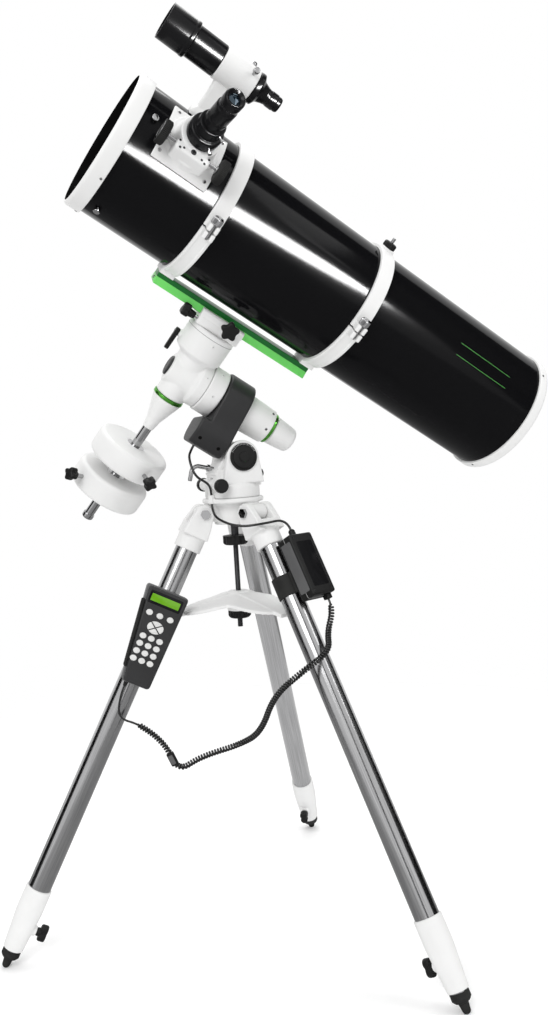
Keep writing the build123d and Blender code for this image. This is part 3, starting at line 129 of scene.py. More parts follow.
# Legs: hinge, and the directions down the tube, outwards and along the hinge bolt
legs = {}
for legName in ("north", "west", "east"):
    tangent = jointWay(legName + "_leg_fold")
    down = jointWay(legName + "_foot_slide")
    legs[legName] = {
        "hinge": jointSpot(legName + "_leg_fold"),
        "tangent": tangent,
        "down": down,
        "outer": np.cross(down, tangent),
    }


def legPoint(leg, along, out=0.0, side=0.0):
    return leg["hinge"] + leg["down"] * along + leg["outer"] * out + leg["tangent"] * side


def legAt(leg, along):
    return place(legPoint(leg, along), leg["down"], leg["outer"])


# Grid surface: row i and column j of the points make the corners of the faces
# uv is (part of the way round, metres along); caps closes the first and last row or column
def gridChunk(points, caps=None):
    rows, columns = points.shape[:2]
    ids = np.arange(rows * columns).reshape(rows, columns)
    faces = np.stack([ids[:-1, :-1], ids[:-1, 1:], ids[1:, 1:], ids[1:, :-1]], -1).reshape(-1, 4).tolist()
    if caps == "rows":
        faces += [ids[0, :-1][::-1].tolist(), ids[-1, :-1].tolist()]
    if caps == "columns":
        faces += [ids[:-1, 0].tolist(), ids[:-1, -1][::-1].tolist()]
    steps = np.linalg.norm(np.diff(points, axis=0), axis=2).mean(1) * mm
    lengthwise = np.concatenate([[0], np.cumsum(steps)])
    uv = np.stack(np.meshgrid(np.linspace(0, 1, columns), lengthwise), -1).reshape(-1, 2)
    return points.reshape(-1, 3), faces, uv


# Rounds an outline: each corner becomes a short curve that starts and ends `size` away from it
# A point may carry its own size as a third number
def soften(points, size=1.0, closed=False, steps=4):
    corners = np.array([point[:2] for point in points], float)
    sizes = [point[2] if len(point) > 2 else size for point in points]
    t = np.linspace(0, 1, steps + 1)[:, None]
    curves = []
    for index, (corner, reach) in enumerate(zip(corners, sizes)):
        if reach == 0 or (not closed and index in (0, len(corners) - 1)):
            curves.append(corner[None])
            continue
        back = corners[index - 1] - corner
        ahead = corners[(index + 1) % len(corners)] - corner
        start = corner + unit(back) * min(reach, 0.49 * np.linalg.norm(back))
        end = corner + unit(ahead) * min(reach, 0.49 * np.linalg.norm(ahead))
        curves.append((1 - t) ** 2 * start + 2 * t * (1 - t) * corner + t**2 * end)
    line = np.concatenate(curves)
    return np.concatenate([line, line[:1]]) if closed else line


# Closed outline of a plain ring between two heights
def ringLine(inner, outer, low, high, ease):
    return soften([(inner, low), (outer, low), (outer, high), (inner, high)], ease, True)


# Points of an arc round the origin, its angles in degrees
def arcLine(radius, start, end, count):
    turn = np.radians(np.linspace(start, end, count))
    return radius * np.stack([np.cos(turn), np.sin(turn)], 1)


# Turned surface: the outline (radius, height) is carried round the place's z
# grip = (low, high, count, depth) takes a cosine wave off the radius between two heights
def turnedChunk(at, outline, segments=72, grip=None, arc=(0, 360)):
    outline = np.asarray(outline, float)
    turn = np.radians(np.linspace(arc[0], arc[1], segments + 1))
    radius = np.repeat(outline[:, :1], segments + 1, 1)
    height = np.repeat(outline[:, 1:2], segments + 1, 1)
    if grip:
        low, high, count, depth = grip
        radius = radius - ((height >= low) & (height <= high)) * depth * (0.5 - 0.5 * np.cos(count * turn))
    local = np.stack([radius * np.cos(turn), radius * np.sin(turn), height], -1)
    return gridChunk(put(at, local), None if arc[1] - arc[0] == 360 else "columns")


# Rod: a plain round chunk between two heights, its rims eased
def rodChunk(at, radius, low, high, segments, ease=0, grip=None):
    outline = [(0, low), (radius, low), (radius, high), (0, high)]
    return turnedChunk(at, soften(outline, ease), segments, grip)


# Plate: a flat outline carried from low to high, drawn in at both rims on a quarter circle
def plateChunk(at, outline, low, high, edge=1.0, steps=3):
    flat = np.asarray(outline, float)
    ahead = np.roll(flat, -1, 0) - flat
    if np.sum(flat[:, 0] * np.roll(flat[:, 1], -1) - np.roll(flat[:, 0], -1) * flat[:, 1]) < 0:
        flat = flat[::-1]
        ahead = np.roll(flat, -1, 0) - flat
    ahead = ahead / np.linalg.norm(ahead, axis=1, keepdims=True)
    outward = np.stack([ahead[:, 1], -ahead[:, 0]], 1)
    before = np.roll(outward, 1, 0)
    lean = (outward + before) / np.maximum(1 + np.sum(outward * before, 1, keepdims=True), 0.4)
    turn = np.radians(np.linspace(0, 90, steps + 1))
    inset = edge * np.concatenate([1 - np.sin(turn), 1 - np.sin(turn[::-1])])
    height = np.concatenate([low + edge * (1 - np.cos(turn)), high - edge * (1 - np.cos(turn[::-1]))])
    rows = flat[None] - lean[None] * inset[:, None, None]
    rows = np.concatenate([rows, rows[:, :1]], 1)
    local = np.concatenate([rows, np.repeat(height[:, None, None], rows.shape[1], 1)], 2)
    return gridChunk(put(at, local), "rows")


def boxOutline(width, depth, corner=2.0, centre=(0, 0)):
    x, y = centre
    spots = [(x - width / 2, y - depth / 2), (x + width / 2, y - depth / 2)]
    spots += [(x + width / 2, y + depth / 2), (x - width / 2, y + depth / 2)]
    return soften(spots, corner, closed=True)[:-1]


# Points of a flat outline at a height over a place
def raised(at, outline, height):
    return put(at, np.column_stack([outline, np.full(len(outline), float(height))]))


def ringOutline(radius, count=48):
    turn = np.linspace(0, 2 * np.pi, count, endpoint=False)
    return np.stack([radius * np.cos(turn), radius * np.sin(turn)], 1)


# Lobed outline: the radius swells and falls as a cosine of the angle
def lobeOutline(radius, lobes, depth, count=120):
    turn = np.linspace(0, 2 * np.pi, count, endpoint=False)
    reach = radius - depth * (0.5 - 0.5 * np.cos(lobes * turn))
    return np.stack([reach * np.cos(turn), reach * np.sin(turn)], 1)


# Swept tube: a circle carried along the path, its frame turned only as much as the path turns
def sweptChunk(path, radius, sides=14):
    path = np.asarray(path, float)
    ways = np.gradient(path, axis=0)
    ways /= np.linalg.norm(ways, axis=1, keepdims=True)
    side = np.cross(ways[0], up if abs(ways[0][2]) < 0.9 else east)
    sidesAll = []
    for way in ways:
        side = unit(side - way * np.dot(side, way))
        sidesAll.append(side)
    across = np.array(sidesAll)
    over = np.cross(ways, across)
    turn = np.linspace(0, 2 * np.pi, sides + 1)[:, None]
    spokes = across[:, None] * np.cos(turn) + over[:, None] * np.sin(turn)
    radii = np.broadcast_to(np.asarray(radius, float), len(path))[:, None, None]
    return gridChunk(path[:, None] + spokes * radii, "rows")


# Lofted surface through closed sections of the same count of points
def loftChunk(sections):
    points = np.asarray(sections, float)
    return gridChunk(np.concatenate([points, points[:, :1]], 1), "rows")


# Joins chunks into one mesh, merges doubled points and points the faces outwards
def meshOf(name, parts, sharp=38):
    finishes = list(dict.fromkeys(finish for finish, _ in parts))
    counts = np.cumsum([0] + [len(chunk[0]) for _, chunk in parts])
    verts = np.concatenate([chunk[0] for _, chunk in parts]) * mm
    uv = np.concatenate([chunk[2] for _, chunk in parts])
    faces = [
        [corner + start for corner in face]
        for (_, chunk), start in zip(parts, counts)
        for face in chunk[1]
    ]
    slots = [finishes.index(finish) for finish, chunk in parts for _ in chunk[1]]
    mesh = bpy.data.meshes.new(name)
    mesh.from_pydata(verts.tolist(), [], faces)
    mesh.polygons.foreach_set("material_index", slots)
    corners = np.zeros(len(mesh.loops), np.int32)
    mesh.loops.foreach_get("vertex_index", corners)
    layer = mesh.uv_layers.new(name="surface")
    layer.data.foreach_set("uv", uv[corners].ravel())
    welded = bmesh.new()
    welded.from_mesh(mesh)
    bmesh.ops.remove_doubles(welded, verts=welded.verts, dist=1e-6)
    bmesh.ops.recalc_face_normals(welded, faces=welded.faces)
    welded.to_mesh(mesh)
    welded.free()
    for finish in finishes:
        mesh.materials.append(finish)
    mesh.shade_smooth()
    mesh.set_sharp_from_angle(angle=radians(sharp))
    return mesh


def objectOf(name, mesh):
    made = bpy.data.objects.new(name, mesh)
    bpy.context.scene.collection.objects.link(made)
    return made


# Parts: a chunk with its finish
def turned(skin, at, outline, segments, ease=0, grip=None, closed=False):
    return skin, turnedChunk(at, soften(outline, ease, closed), segments, grip)


def rod(skin, *sizes):
    return skin, rodChunk(*sizes)


def plate(skin, *sizes):
    return skin, plateChunk(*sizes)


# Sets the body that the piece rides on, and hides the CAD nodes that it stands for
def dress(made, body, stands):
    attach(made, body)
    if stands:
        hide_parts(*stands)
    return made


def piece(name, body, parts, stands=()):
    return dress(objectOf(name, meshOf(name, parts)), body, stands)


# Cast piece: overlapping chunks melt into one skin, and its inner corners fill as on a casting
def castPiece(name, body, finish, chunks, stands=(), grain=1.4, rounds=6, cuts=()):
    rough = objectOf(name + "Rough", meshOf(name + "Rough", [(finish, chunk) for chunk in chunks]))
    melt = rough.modifiers.new("melt", "REMESH")
    melt.mode = "VOXEL"
    melt.voxel_size = grain * mm
    ease = rough.modifiers.new("ease", "SMOOTH")
    ease.factor = 0.5
    ease.iterations = rounds
    return cutPiece(rough, name, body, finish, stands, cuts)


# Takes the cutters out of the rough object, and keeps the result as a piece
def cutPiece(rough, name, body, finish, stands, cuts):
    cutters = [objectOf("cutter", meshOf("cutter", [(finish, chunk)])) for chunk in cuts]
    for cutter in cutters:
        cut = rough.modifiers.new("cut", "BOOLEAN")
        cut.operation = "DIFFERENCE"
        cut.object = cutter
    bpy.context.view_layer.update()
    graph = bpy.context.evaluated_depsgraph_get()
    mesh = bpy.data.meshes.new_from_object(rough.evaluated_get(graph))
    mesh.name = name
    for used in [rough] + cutters:
        bpy.data.objects.remove(used)
    mesh.shade_smooth()
    mesh.set_sharp_from_angle(angle=radians(50))
    return dress(objectOf(name, mesh), body, stands)


def nodeOf(tree, kind, values=()):
    node = tree.nodes.new("ShaderNode" + kind)
    for socket, value in dict(values).items():
        node.inputs[socket].default_value = value
    return node


def linkAll(tree, *pairs):
    for start, end in pairs:
        tree.links.new(start, end)


# Finish: broad noise between two colours, fine noise or cells for gloss and bump
def finish(name, low, high, patch=8, grain=500, rough=(0.3, 0.4), bump=0.1, depth=0.0003,
           coords="Object", stretch=(1, 1, 1), cells=False, metal=0.0, sheen=0.5, sockets=()):
    material = bpy.data.materials.new(name)
    material.use_nodes = True
    tree = material.node_tree
    shader = tree.nodes["Principled BSDF"]
    coord = nodeOf(tree, "TexCoord")
    mapping = nodeOf(tree, "Mapping", {"Scale": stretch})
    broad = nodeOf(tree, "TexNoise", {"Scale": patch, "Detail": 5})
    ramp = nodeOf(tree, "ValToRGB")
    for element, position, colour in zip(ramp.color_ramp.elements, (0.3, 0.7), (low, high)):
        element.position = position
        element.color = (*colour, 1)
    fine = nodeOf(tree, "TexVoronoi" if cells else "TexNoise", {"Scale": grain})
    fineOut = fine.outputs["Distance" if cells else "Fac"]
    gloss = nodeOf(tree, "MapRange", {"To Min": rough[0], "To Max": rough[1]})
    relief = nodeOf(tree, "Bump", {"Strength": bump, "Distance": depth})
    linkAll(
        tree,
        (coord.outputs[coords], mapping.inputs["Vector"]),
        (mapping.outputs["Vector"], broad.inputs["Vector"]),
        (mapping.outputs["Vector"], fine.inputs["Vector"]),
        (broad.outputs["Fac"], ramp.inputs["Fac"]),
        (ramp.outputs["Color"], shader.inputs["Base Color"]),
        (fineOut, gloss.inputs["Value"]),
        (gloss.outputs["Result"], shader.inputs["Roughness"]),
        (fineOut, relief.inputs["Height"]),
        (relief.outputs["Normal"], shader.inputs["Normal"]),
    )
    for socket, value in {"Metallic": metal, "Specular IOR Level": sheen, **dict(sockets)}.items():
        shader.inputs[socket].default_value = value
    return material


whitePaint = finish(
    "white satin paint", (0.78, 0.78, 0.775), (0.84, 0.84, 0.835), 5, 900, (0.30, 0.42), 0.12, 0.0002,
    sheen=0.16
)
castWhite = finish(
    "white painted casting", (0.77, 0.77, 0.765), (0.83, 0.83, 0.825), 9, 520, (0.34, 0.48), 0.16, 0.0004,
    sheen=0.16
)
tubeBlack = finish(
    "sparkling black gloss", (0.0012, 0.0012, 0.0014), (0.008, 0.008, 0.009), 2600, 2200, (0.08, 0.14),
    0.05, 0.0001, cells=True, sheen=0.08
)
# Flat black for the tube's lining and the spider, and also as painted shade in screw slots and in the
# cover's holes
flatBlack = finish(
    "flat black lining and painted shade", (0.004, 0.004, 0.004), (0.008, 0.008, 0.008), 30, 900, (0.75, 0.9), 0.3, 0.0003,
    sheen=0.0
)
barGreen = finish(
    "light green anodising", (0.15, 0.70, 0.13), (0.19, 0.79, 0.16), 20, 700, (0.30, 0.40), 0.08, 0.0001,
    metal=0.15
)
# Painted shade: a darker copy of the bar's green for its top, standing in for the shade and the black
# tube's reflection there
paintedShadeGreen = finish(
    "green anodising with painted shade", (0.006, 0.14, 0.022), (0.010, 0.19, 0.030), 20, 700, (0.28, 0.38), 0.08, 0.0001,
    metal=0.35
)
ringGreen = finish(
    "green turned ring", (0.07, 0.30, 0.035), (0.12, 0.42, 0.06), 6, 90, (0.18, 0.30), 0.06, 0.0001,
    coords="UV", stretch=(2, 2600, 1), metal=0.85
)
legSteel = finish(
    "drawn steel", (0.34, 0.34, 0.345), (0.50, 0.50, 0.505), 3, 60, (0.13, 0.24), 0.05, 0.0001, coords="UV",
    stretch=(24, 3, 1), metal=1.0
)
chrome = finish(
    "bright turned steel", (0.36, 0.36, 0.365), (0.46, 0.46, 0.465), 40, 60, (0.08, 0.16), 0.05, 0.0001,
    coords="UV", stretch=(2, 1500, 1), metal=1.0
)
darkSteel = finish(
    "blackened steel", (0.03, 0.03, 0.032), (0.06, 0.06, 0.063), 60, 300, (0.25, 0.4), 0.1, 0.0002,
    metal=0.8
)
knobBlack = finish(
    "moulded black plastic", (0.008, 0.008, 0.008), (0.014, 0.014, 0.014), 25, 800, (0.36, 0.52), 0.2,
    0.0003, sheen=0.2
)
rubber = finish(
    "black rubber", (0.012, 0.012, 0.012), (0.022, 0.022, 0.021), 40, 1400, (0.6, 0.78), 0.25, 0.0003,
    sheen=0.25
)
coverGrey = finish(
    "pebbled dark cover", (0.022, 0.022, 0.023), (0.032, 0.032, 0.033), 14, 1100, (0.36, 0.5), 0.3, 0.0002,
    cells=True, sheen=0.28
)
handGrey = finish(
    "dark grey shell", (0.022, 0.022, 0.023), (0.030, 0.030, 0.031), 18, 1200, (0.42, 0.55), 0.25, 0.0002,
    cells=True, sheen=0.35
)
sideGrey = finish(
    "mid grey panel", (0.085, 0.085, 0.087), (0.11, 0.11, 0.112), 18, 1000, (0.4, 0.52), 0.2, 0.0002,
    cells=True, sheen=0.35
)
opticsBlack = finish(
    "black anodised barrel", (0.006, 0.006, 0.0065), (0.011, 0.011, 0.012), 30, 120, (0.14, 0.22), 0.02,
    0.00005, coords="UV", stretch=(2, 1200, 1), sheen=0.12
)
keyWhite = finish(
    "white key rubber", (0.66, 0.66, 0.65), (0.73, 0.73, 0.72), 60, 1500, (0.45, 0.6), 0.15, 0.0002
)
screenGreen = finish(
    "lit screen", (0.105, 0.30, 0.006), (0.14, 0.37, 0.010), 30, 2200, (0.12, 0.2), 0.03, 0.0001,
    cells=True, sockets={"Emission Color": (0.10, 0.30, 0.006, 1), "Emission Strength": 0.12}
)
glassBlack = finish(
    "dark window", (0.006, 0.006, 0.007), (0.010, 0.010, 0.011), 20, 900, (0.06, 0.12), 0.02, 0.0001,
    sheen=0.15
)
mirrorCoat = finish(
    "mirror coating", (0.84, 0.85, 0.86), (0.88, 0.89, 0.90), 40, 400, (0.015, 0.04), 0.01, 0.0001,
    metal=1.0
)
lensCoat = finish(
    "coated lens", (0.004, 0.010, 0.014), (0.008, 0.016, 0.024), 30, 300, (0.02, 0.05), 0.01, 0.0001,
    sockets={"Coat Weight": 1.0, "Coat Roughness": 0.02, "Thin Film Thickness": 180.0}
)
cordBlack = finish(
    "black cord skin", (0.006, 0.006, 0.006), (0.011, 0.011, 0.011), 60, 1800, (0.2, 0.3), 0.1, 0.0002,
    sheen=0.6
)
# Grey for joint lines, and also as painted shade in the slots of the white-painted screw heads
jointAndShadeGrey = finish("joint line and painted slot shade", (0.30, 0.30, 0.30), (0.38, 0.38, 0.38), 60, 900, (0.5, 0.65), 0.1, 0.0002)
print("finishes made:", len(bpy.data.materials))

# Camera at the photograph's angle
camera = {
    "spot": (-0.56896, -1.73649, 0.90055),
    "right": (0.94180, -0.33090, -0.05926),
    "up": (0.07278, 0.02862, 0.99694),
    "lens": 35.40,
    "shift": (0.0231, -0.0163),
}
lensData = bpy.data.cameras.new("camera")
lensData.lens = camera["lens"]
lensData.shift_x, lensData.shift_y = camera["shift"]
cameraObject = objectOf("camera", lensData)
cameraTurn = np.eye(4)
cameraTurn[:3, 0] = camera["right"]
cameraTurn[:3, 1] = camera["up"]
cameraTurn[:3, 2] = np.cross(camera["right"], camera["up"])
cameraTurn[:3, 3] = camera["spot"]
cameraObject.matrix_world = Matrix(cameraTurn.tolist())
bpy.context.scene.camera = cameraObject

# Light: three soft lamps, and a long oval whose reflection is the bright band on the tube
lamps = {
    "keyLamp": {"spot": (-2.0, -2.4, 2.8), "aim": (0, 0, 0.95), "size": (1.8, 1.8), "power": 56},
    "fillLamp": {"spot": (2.3, -1.6, 2.4), "aim": (0, 0, 0.9), "size": (1.6, 1.6), "power": 26},
    "topLamp": {"spot": (0.2, 0.6, 3.2), "aim": (0, 0, 1.0), "size": (1.6, 1.6), "power": 24},
}
bandLamp = {
    "spot": (0.50, -2.10, 1.08), "long": (0.93, 0.10, 0.34), "aim": (0.05, -0.11, 1.22),
    "size": (1.9, 0.42), "power": 400
}

# Glow on the floor, which only the far leg's steel reflects
floorGlow = {"spot": (0, 0, 0.01), "aim": (0, 0, 1), "size": (3.4, 3.4), "power": 17}


def lampOf(name, spot, aim, size, power, shape="RECTANGLE", long=(1, 0, 0)):
    data = bpy.data.lights.new(name, "AREA")
    data.shape = shape
    data.size, data.size_y = size
    data.energy = power
    lamp = objectOf(name, data)
    back = unit(np.subtract(spot, aim))
    side = unit(np.asarray(long, float) - back * np.dot(long, back))
    turn = np.eye(4)
    turn[:3, :3] = np.stack([side, np.cross(back, side), back], 1)
    turn[:3, 3] = spot
    lamp.matrix_world = Matrix(turn.tolist())
    return lamp


for lampName, lampSet in lamps.items():
    lampOf(lampName, **lampSet)
bandObject = lampOf("bandLamp", shape="ELLIPSE", **bandLamp)
bandObject.visible_diffuse = False
floorGlowObject = lampOf("floorGlow", **floorGlow)

# World: white where the camera, a mirror or glass looks, softer as light on the object
worldSet = {"soft": 0.67, "seen": 1.0}
world = bpy.data.worlds.new("studio")
bpy.context.scene.world = world
world.use_nodes = True
worldTree = world.node_tree
background = worldTree.nodes["Background"]
background.inputs["Color"].default_value = (1, 1, 1, 1)
lightPath = nodeOf(worldTree, "LightPath")
seenEither = nodeOf(worldTree, "Math")
seenEither.operation = "MAXIMUM"
seenAny = nodeOf(worldTree, "Math")
seenAny.operation = "MAXIMUM"
strength = nodeOf(worldTree, "MapRange", {"To Min": worldSet["soft"], "To Max": worldSet["seen"]})
linkAll(
    worldTree,
    (lightPath.outputs["Is Camera Ray"], seenEither.inputs[0]),
    (lightPath.outputs["Is Glossy Ray"], seenEither.inputs[1]),
    (seenEither.outputs[0], seenAny.inputs[0]),
    (lightPath.outputs["Is Transmission Ray"], seenAny.inputs[1]),
    (seenAny.outputs[0], strength.inputs["Value"]),
    (strength.outputs["Result"], background.inputs["Strength"]),
)

# Floor: a pale disc that fades into the white background, and keeps the shadow
floorSet = {"radius": 4.0, "fadeFrom": 0.9, "fadeTo": 2.2, "drop": -0.0005, "sides": 64,
            "colour": (0.97, 0.97, 0.97, 1), "glow": 0.1}
floorMaterial = bpy.data.materials.new("pale floor")
floorMaterial.use_nodes = True
floorTree = floorMaterial.node_tree
floorShader = floorTree.nodes["Principled BSDF"]
floorLook = {
    "Base Color": floorSet["colour"],
    "Roughness": 0.85,
    "Specular IOR Level": 0.0,
    "Emission Color": floorSet["colour"],
    "Emission Strength": floorSet["glow"],
}
for socket, value in floorLook.items():
    floorShader.inputs[socket].default_value = value
floorCoord = nodeOf(floorTree, "TexCoord")
floorReach = nodeOf(floorTree, "VectorMath")
floorReach.operation = "LENGTH"
floorFade = nodeOf(
    floorTree, "MapRange", {"From Min": floorSet["fadeFrom"], "From Max": floorSet["fadeTo"]}
)
floorFade.interpolation_type = "SMOOTHSTEP"
floorClear = nodeOf(floorTree, "BsdfTransparent")
floorMix = nodeOf(floorTree, "MixShader")
linkAll(
    floorTree,
    (floorCoord.outputs["Object"], floorReach.inputs[0]),
    (floorReach.outputs["Value"], floorFade.inputs["Value"]),
    (floorFade.outputs["Result"], floorMix.inputs["Fac"]),
    (floorShader.outputs["BSDF"], floorMix.inputs[1]),
    (floorClear.outputs["BSDF"], floorMix.inputs[2]),
    (floorMix.outputs["Shader"], floorTree.nodes["Material Output"].inputs["Surface"]),
)
floorVerts = [(*spot, floorSet["drop"]) for spot in ringOutline(floorSet["radius"], floorSet["sides"])]
floorMesh = bpy.data.meshes.new("floor")
floorMesh.from_pydata(floorVerts, [], [list(range(floorSet["sides"]))])
floorMesh.materials.append(floorMaterial)
floor = objectOf("floor", floorMesh)

# Dark cards behind the camera and beside it, and a grey one on the floor, which only polished surfaces see
cards = {
    "backCard": {
        "middle": (-0.55, -3.0, 1.8), "across": (1, -0.25, 0), "rise": (0, 0, 1), "size": (0.5, 3.6),
        "skin": flatBlack
    },
    "leftCard": {
        "middle": (-2.6, 0.7, 2.3), "across": (0.45, 1, 0), "rise": (0, 0, 1), "size": (1.9, 4.6),
        "skin": flatBlack
    },
    "rightCard": {
        "middle": (2.4, -0.9, 2.4), "across": (0.35, 1, 0), "rise": (0, 0, 1), "size": (2.9, 4.8),
        "skin": flatBlack
    },
    "lowCard": {
        "middle": (0, 0, -0.0003), "across": (1, 0, 0), "rise": (0, 1, 0), "size": (7, 7), "skin": jointAndShadeGrey
    },
}
for cardName, cardSet in cards.items():
    across = unit(cardSet["across"]) * cardSet["size"][0] / 2
    rise = unit(cardSet["rise"]) * cardSet["size"][1] / 2
    middle = np.array(cardSet["middle"])
    cardMesh = bpy.data.meshes.new(cardName)
    corners = [
        middle - across - rise, middle + across - rise, middle + across + rise, middle - across + rise
    ]
    cardMesh.from_pydata([corner.tolist() for corner in corners], [], [[0, 1, 2, 3]])
    cardMesh.materials.append(cardSet["skin"])
    card = objectOf(cardName, cardMesh)
    card.visible_camera = False
    card.visible_diffuse = False
    card.visible_shadow = False
    card.visible_transmission = False
bpy.context.scene.view_settings.view_transform = "Standard"
print("camera, lamps, world and floor made")


# Centreline of a cord: a NURBS spline with the route's points as control points, read back as points in mm
def cordLine(route, fineness):
    curve = bpy.data.curves.new("route", "CURVE")
    curve.dimensions = "3D"
    spline = curve.splines.new("NURBS")
    spline.points.add(len(route) - 1)
    spline.points.foreach_set("co", np.column_stack([np.array(route) * mm, np.ones(len(route))]).ravel())
    spline.order_u = 3
    spline.use_endpoint_u = True
    spline.resolution_u = fineness
    holder = bpy.data.objects.new("route", curve)
    mesh = bpy.data.meshes.new_from_object(holder)
    points = np.zeros(len(mesh.vertices) * 3)
    mesh.vertices.foreach_get("co", points)
    bpy.data.meshes.remove(mesh)
    bpy.data.objects.remove(holder)
    bpy.data.curves.remove(curve)
    return points.reshape(-1, 3) / mm


def runLength(points):
    return np.concatenate([[0], np.cumsum(np.linalg.norm(np.diff(points, axis=0), axis=1))])


north, westLeg = legs["north"], legs["west"]

# Curly cord: a helix round the route's line, its radius nil on the two leads
curly = {
    "wire": 1.9,
    "coil": 3.8,
    "turns": 112,
    "perTurn": 12,
    "lead": 90,
    "tail": 9,
    "tieAt": 178,
    "slackPoint": 7,
    "route": [
        legPoint(north, 333.1, 12, 35.75),
        legPoint(north, 353.1, 12, 35.75),
        (-240, -9, 424),
        (-205, -24, 412),
        (-165, -40, 375),
        (-147, -48, 325),
        (-110, -64, 350),
        (-45, -95, 370),
        (-20, -140, 400),
        (-8, -180, 470),
        (30, -222, 515),
        (85, -212, 540),
        (96, -180, 565),
        legPoint(westLeg, 216.1, 43.5, 37),
        legPoint(westLeg, 196.1, 43.5, 37),
    ],
}
line = cordLine(curly["route"], 40)
travel = runLength(line)
total = travel[-1]
coilRun = total - curly["lead"] - curly["tail"]
spots = np.concatenate([
    np.linspace(0, curly["lead"], 40, endpoint=False),
    curly["lead"] + np.linspace(0, coilRun, curly["turns"] * curly["perTurn"], endpoint=False),
    np.linspace(total - curly["tail"], total, 16),
])
core = np.stack([np.interp(spots, travel, line[:, axis]) for axis in range(3)], 1)
ways = np.gradient(core, spots, axis=0)
ways /= np.linalg.norm(ways, axis=1, keepdims=True)
sideNow = east
sideWays = []
for way in ways:
    sideNow = unit(sideNow - way * np.dot(sideNow, way))
    sideWays.append(sideNow)
sideWays = np.array(sideWays)
turns = (spots - curly["lead"]) / coilRun * curly["turns"]
grow = np.clip(np.minimum(turns, curly["turns"] - turns), 0, 1)[:, None]
angle = (2 * np.pi * turns)[:, None]
helix = core + curly["coil"] * grow * (sideWays * np.cos(angle) + np.cross(ways, sideWays) * np.sin(angle))
tieIndex = int(np.searchsorted(spots, curly["tieAt"]))
halves = {
    "handsetCord": (helix[: tieIndex + 1], "north_leg", "tripod", helix[0], core[tieIndex], helix[0]),
    "boxCord": (
        helix[tieIndex:], "tripod", "west_leg", np.array(curly["route"][curly["slackPoint"]]), helix[-1],
        helix[-1]
    ),
}
cordPieces = {}
for cordName, (path, fromBody, toBody, blendStart, blendEnd, cordExit) in halves.items():
    made = objectOf(cordName, meshOf(cordName, [(cordBlack, sweptChunk(path, curly["wire"], 8))], 60))
    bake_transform(made)
    cordPieces[cordName] = (made, path, cordExit)
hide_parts("coiled_cord")

# Tie that gathers the curls near the handset
tieAt = place(core[tieIndex], ways[tieIndex], up)
tagAt = place(core[tieIndex], np.cross(ways[tieIndex], up), ways[tieIndex])
cordTie = piece("cordTie", "tripod", [
    rod(knobBlack, tieAt, 6.9, -12, 12, 40, 2),
    plate(sideGrey, tagAt, boxOutline(17, 8, 2), 4, 7.4, 0.6),
])
for cordName, farEnd, extra in (("handsetCord", "fitting", [cordTie]), ("boxCord", "object", [])):
    made, path, cordExit = cordPieces[cordName]

# Motor cable: a lead from the cover to the hub's clip, and on to the control box
cable = {
    "radius": 2.2, "clipTurn": 210, "clipRadius": 57, "coverLow": 104.1, "exitAlong": 75, "exitWest": 20
}
clipSpot = between(south, east, cable["clipTurn"]) * cable["clipRadius"] + up * hubTop
coverExit = crossing - polar * cable["exitAlong"] - polarUp * cable["coverLow"] - east * cable["exitWest"]
cableRuns = {
    "motorLead": (
        [
            coverExit, coverExit - polarUp * 9, (-88, -30, 876), (-84, -50, 842), (-56, -36, 828),
            clipSpot + up * 17, clipSpot + up * 8
        ],
        "altitude", "azimuth",
    ),
    "boxCable": (
        [clipSpot - up * 8, clipSpot - up * 17, (-50, -54, 764), (-22, -92, 750), (18, -109, 754),
         legPoint(westLeg, 38, 43.5, 18), legPoint(westLeg, 59.9, 43.5, 18)],
        "tripod", "west_leg",
    ),
}
for cordName, (route, fromBody, toBody) in cableRuns.items():
    path = cordLine(route, 24)
    made = objectOf(cordName, meshOf(cordName, [(cordBlack, sweptChunk(path, cable["radius"], 14))], 60))
    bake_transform(made)
    if cordName == "boxCable":
        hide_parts("motor_cable")
print("cords made: curly", round(total), "mm of route")


# Screw head: a turned button with a cross of two slots, seated on the place; the slots are not cut but are
# a thin dark cross on the head, which paints the shade in them
def screwChunks(at, radius, height, head=None, slotShade=None):
    head = head or chrome
    chunks = [rod(head, at, radius, -0.6, height, 28, radius * 0.3)]
    for turn in (0, 1):
        outline = boxOutline(radius * 1.3, radius * 0.22, 0.05)
        if turn:
            outline = outline[:, ::-1]
        chunks.append(plate(slotShade or flatBlack, at, outline, height - 0.3, height + 0.06, 0.02))
    return chunks


# Thumb screw: a thin shank and a knurled head on its end
def thumbScrew(at, shank, length, head, headLength, count=24):
    low = length - headLength
    knurl = (low + head * 0.25, length - head * 0.25, count, head * 0.12)
    return [
        rod(chrome, at, shank, -2, low + 1, 24),
        rod(chrome, at, head, low, length, count * 4, head * 0.2, knurl),
    ]


# Ridges of a thread, as an outline between two heights
def threadOutline(radius, low, high, pitch, count, depth=0.15):
    heights = np.linspace(low, high, count)
    return np.stack([radius + depth * np.cos(heights * 2 * np.pi / pitch), heights], 1)


# Screws in a ring: their heads point outwards from an axis, at the angles given
def screwRing(centre, axis, first, second, reach, angles, *screw):
    parts = []
    for angle in angles:
        way = between(first, second, angle)
        parts += screwChunks(place(centre + way * reach, way, axis), *screw)
    return parts


def tubeScrews(station, reach, angles, *screw):
    return screwRing(tubeAt(station)[0], tubeWay, decWay, tubeSide, reach, angles, *screw)


# Lobed knob: a bright shank (radius, low, high, segments), a lobed grip (radius, lobes, depth) that
# rises between two heights, and a collar (low radius, high radius, low, high, ease, segments)
def lobedKnob(at, shank, lobes, rise, collar):
    lowRadius, highRadius, low, high, ease, segments = collar
    collarLine = soften([(0, low), (lowRadius, low), (highRadius, high), (0, high)], ease)
    return [
        rod(chrome, at, *shank),
        plate(knobBlack, at, lobeOutline(*lobes), *rise),
        turned(knobBlack, at, collarLine, segments),
    ]


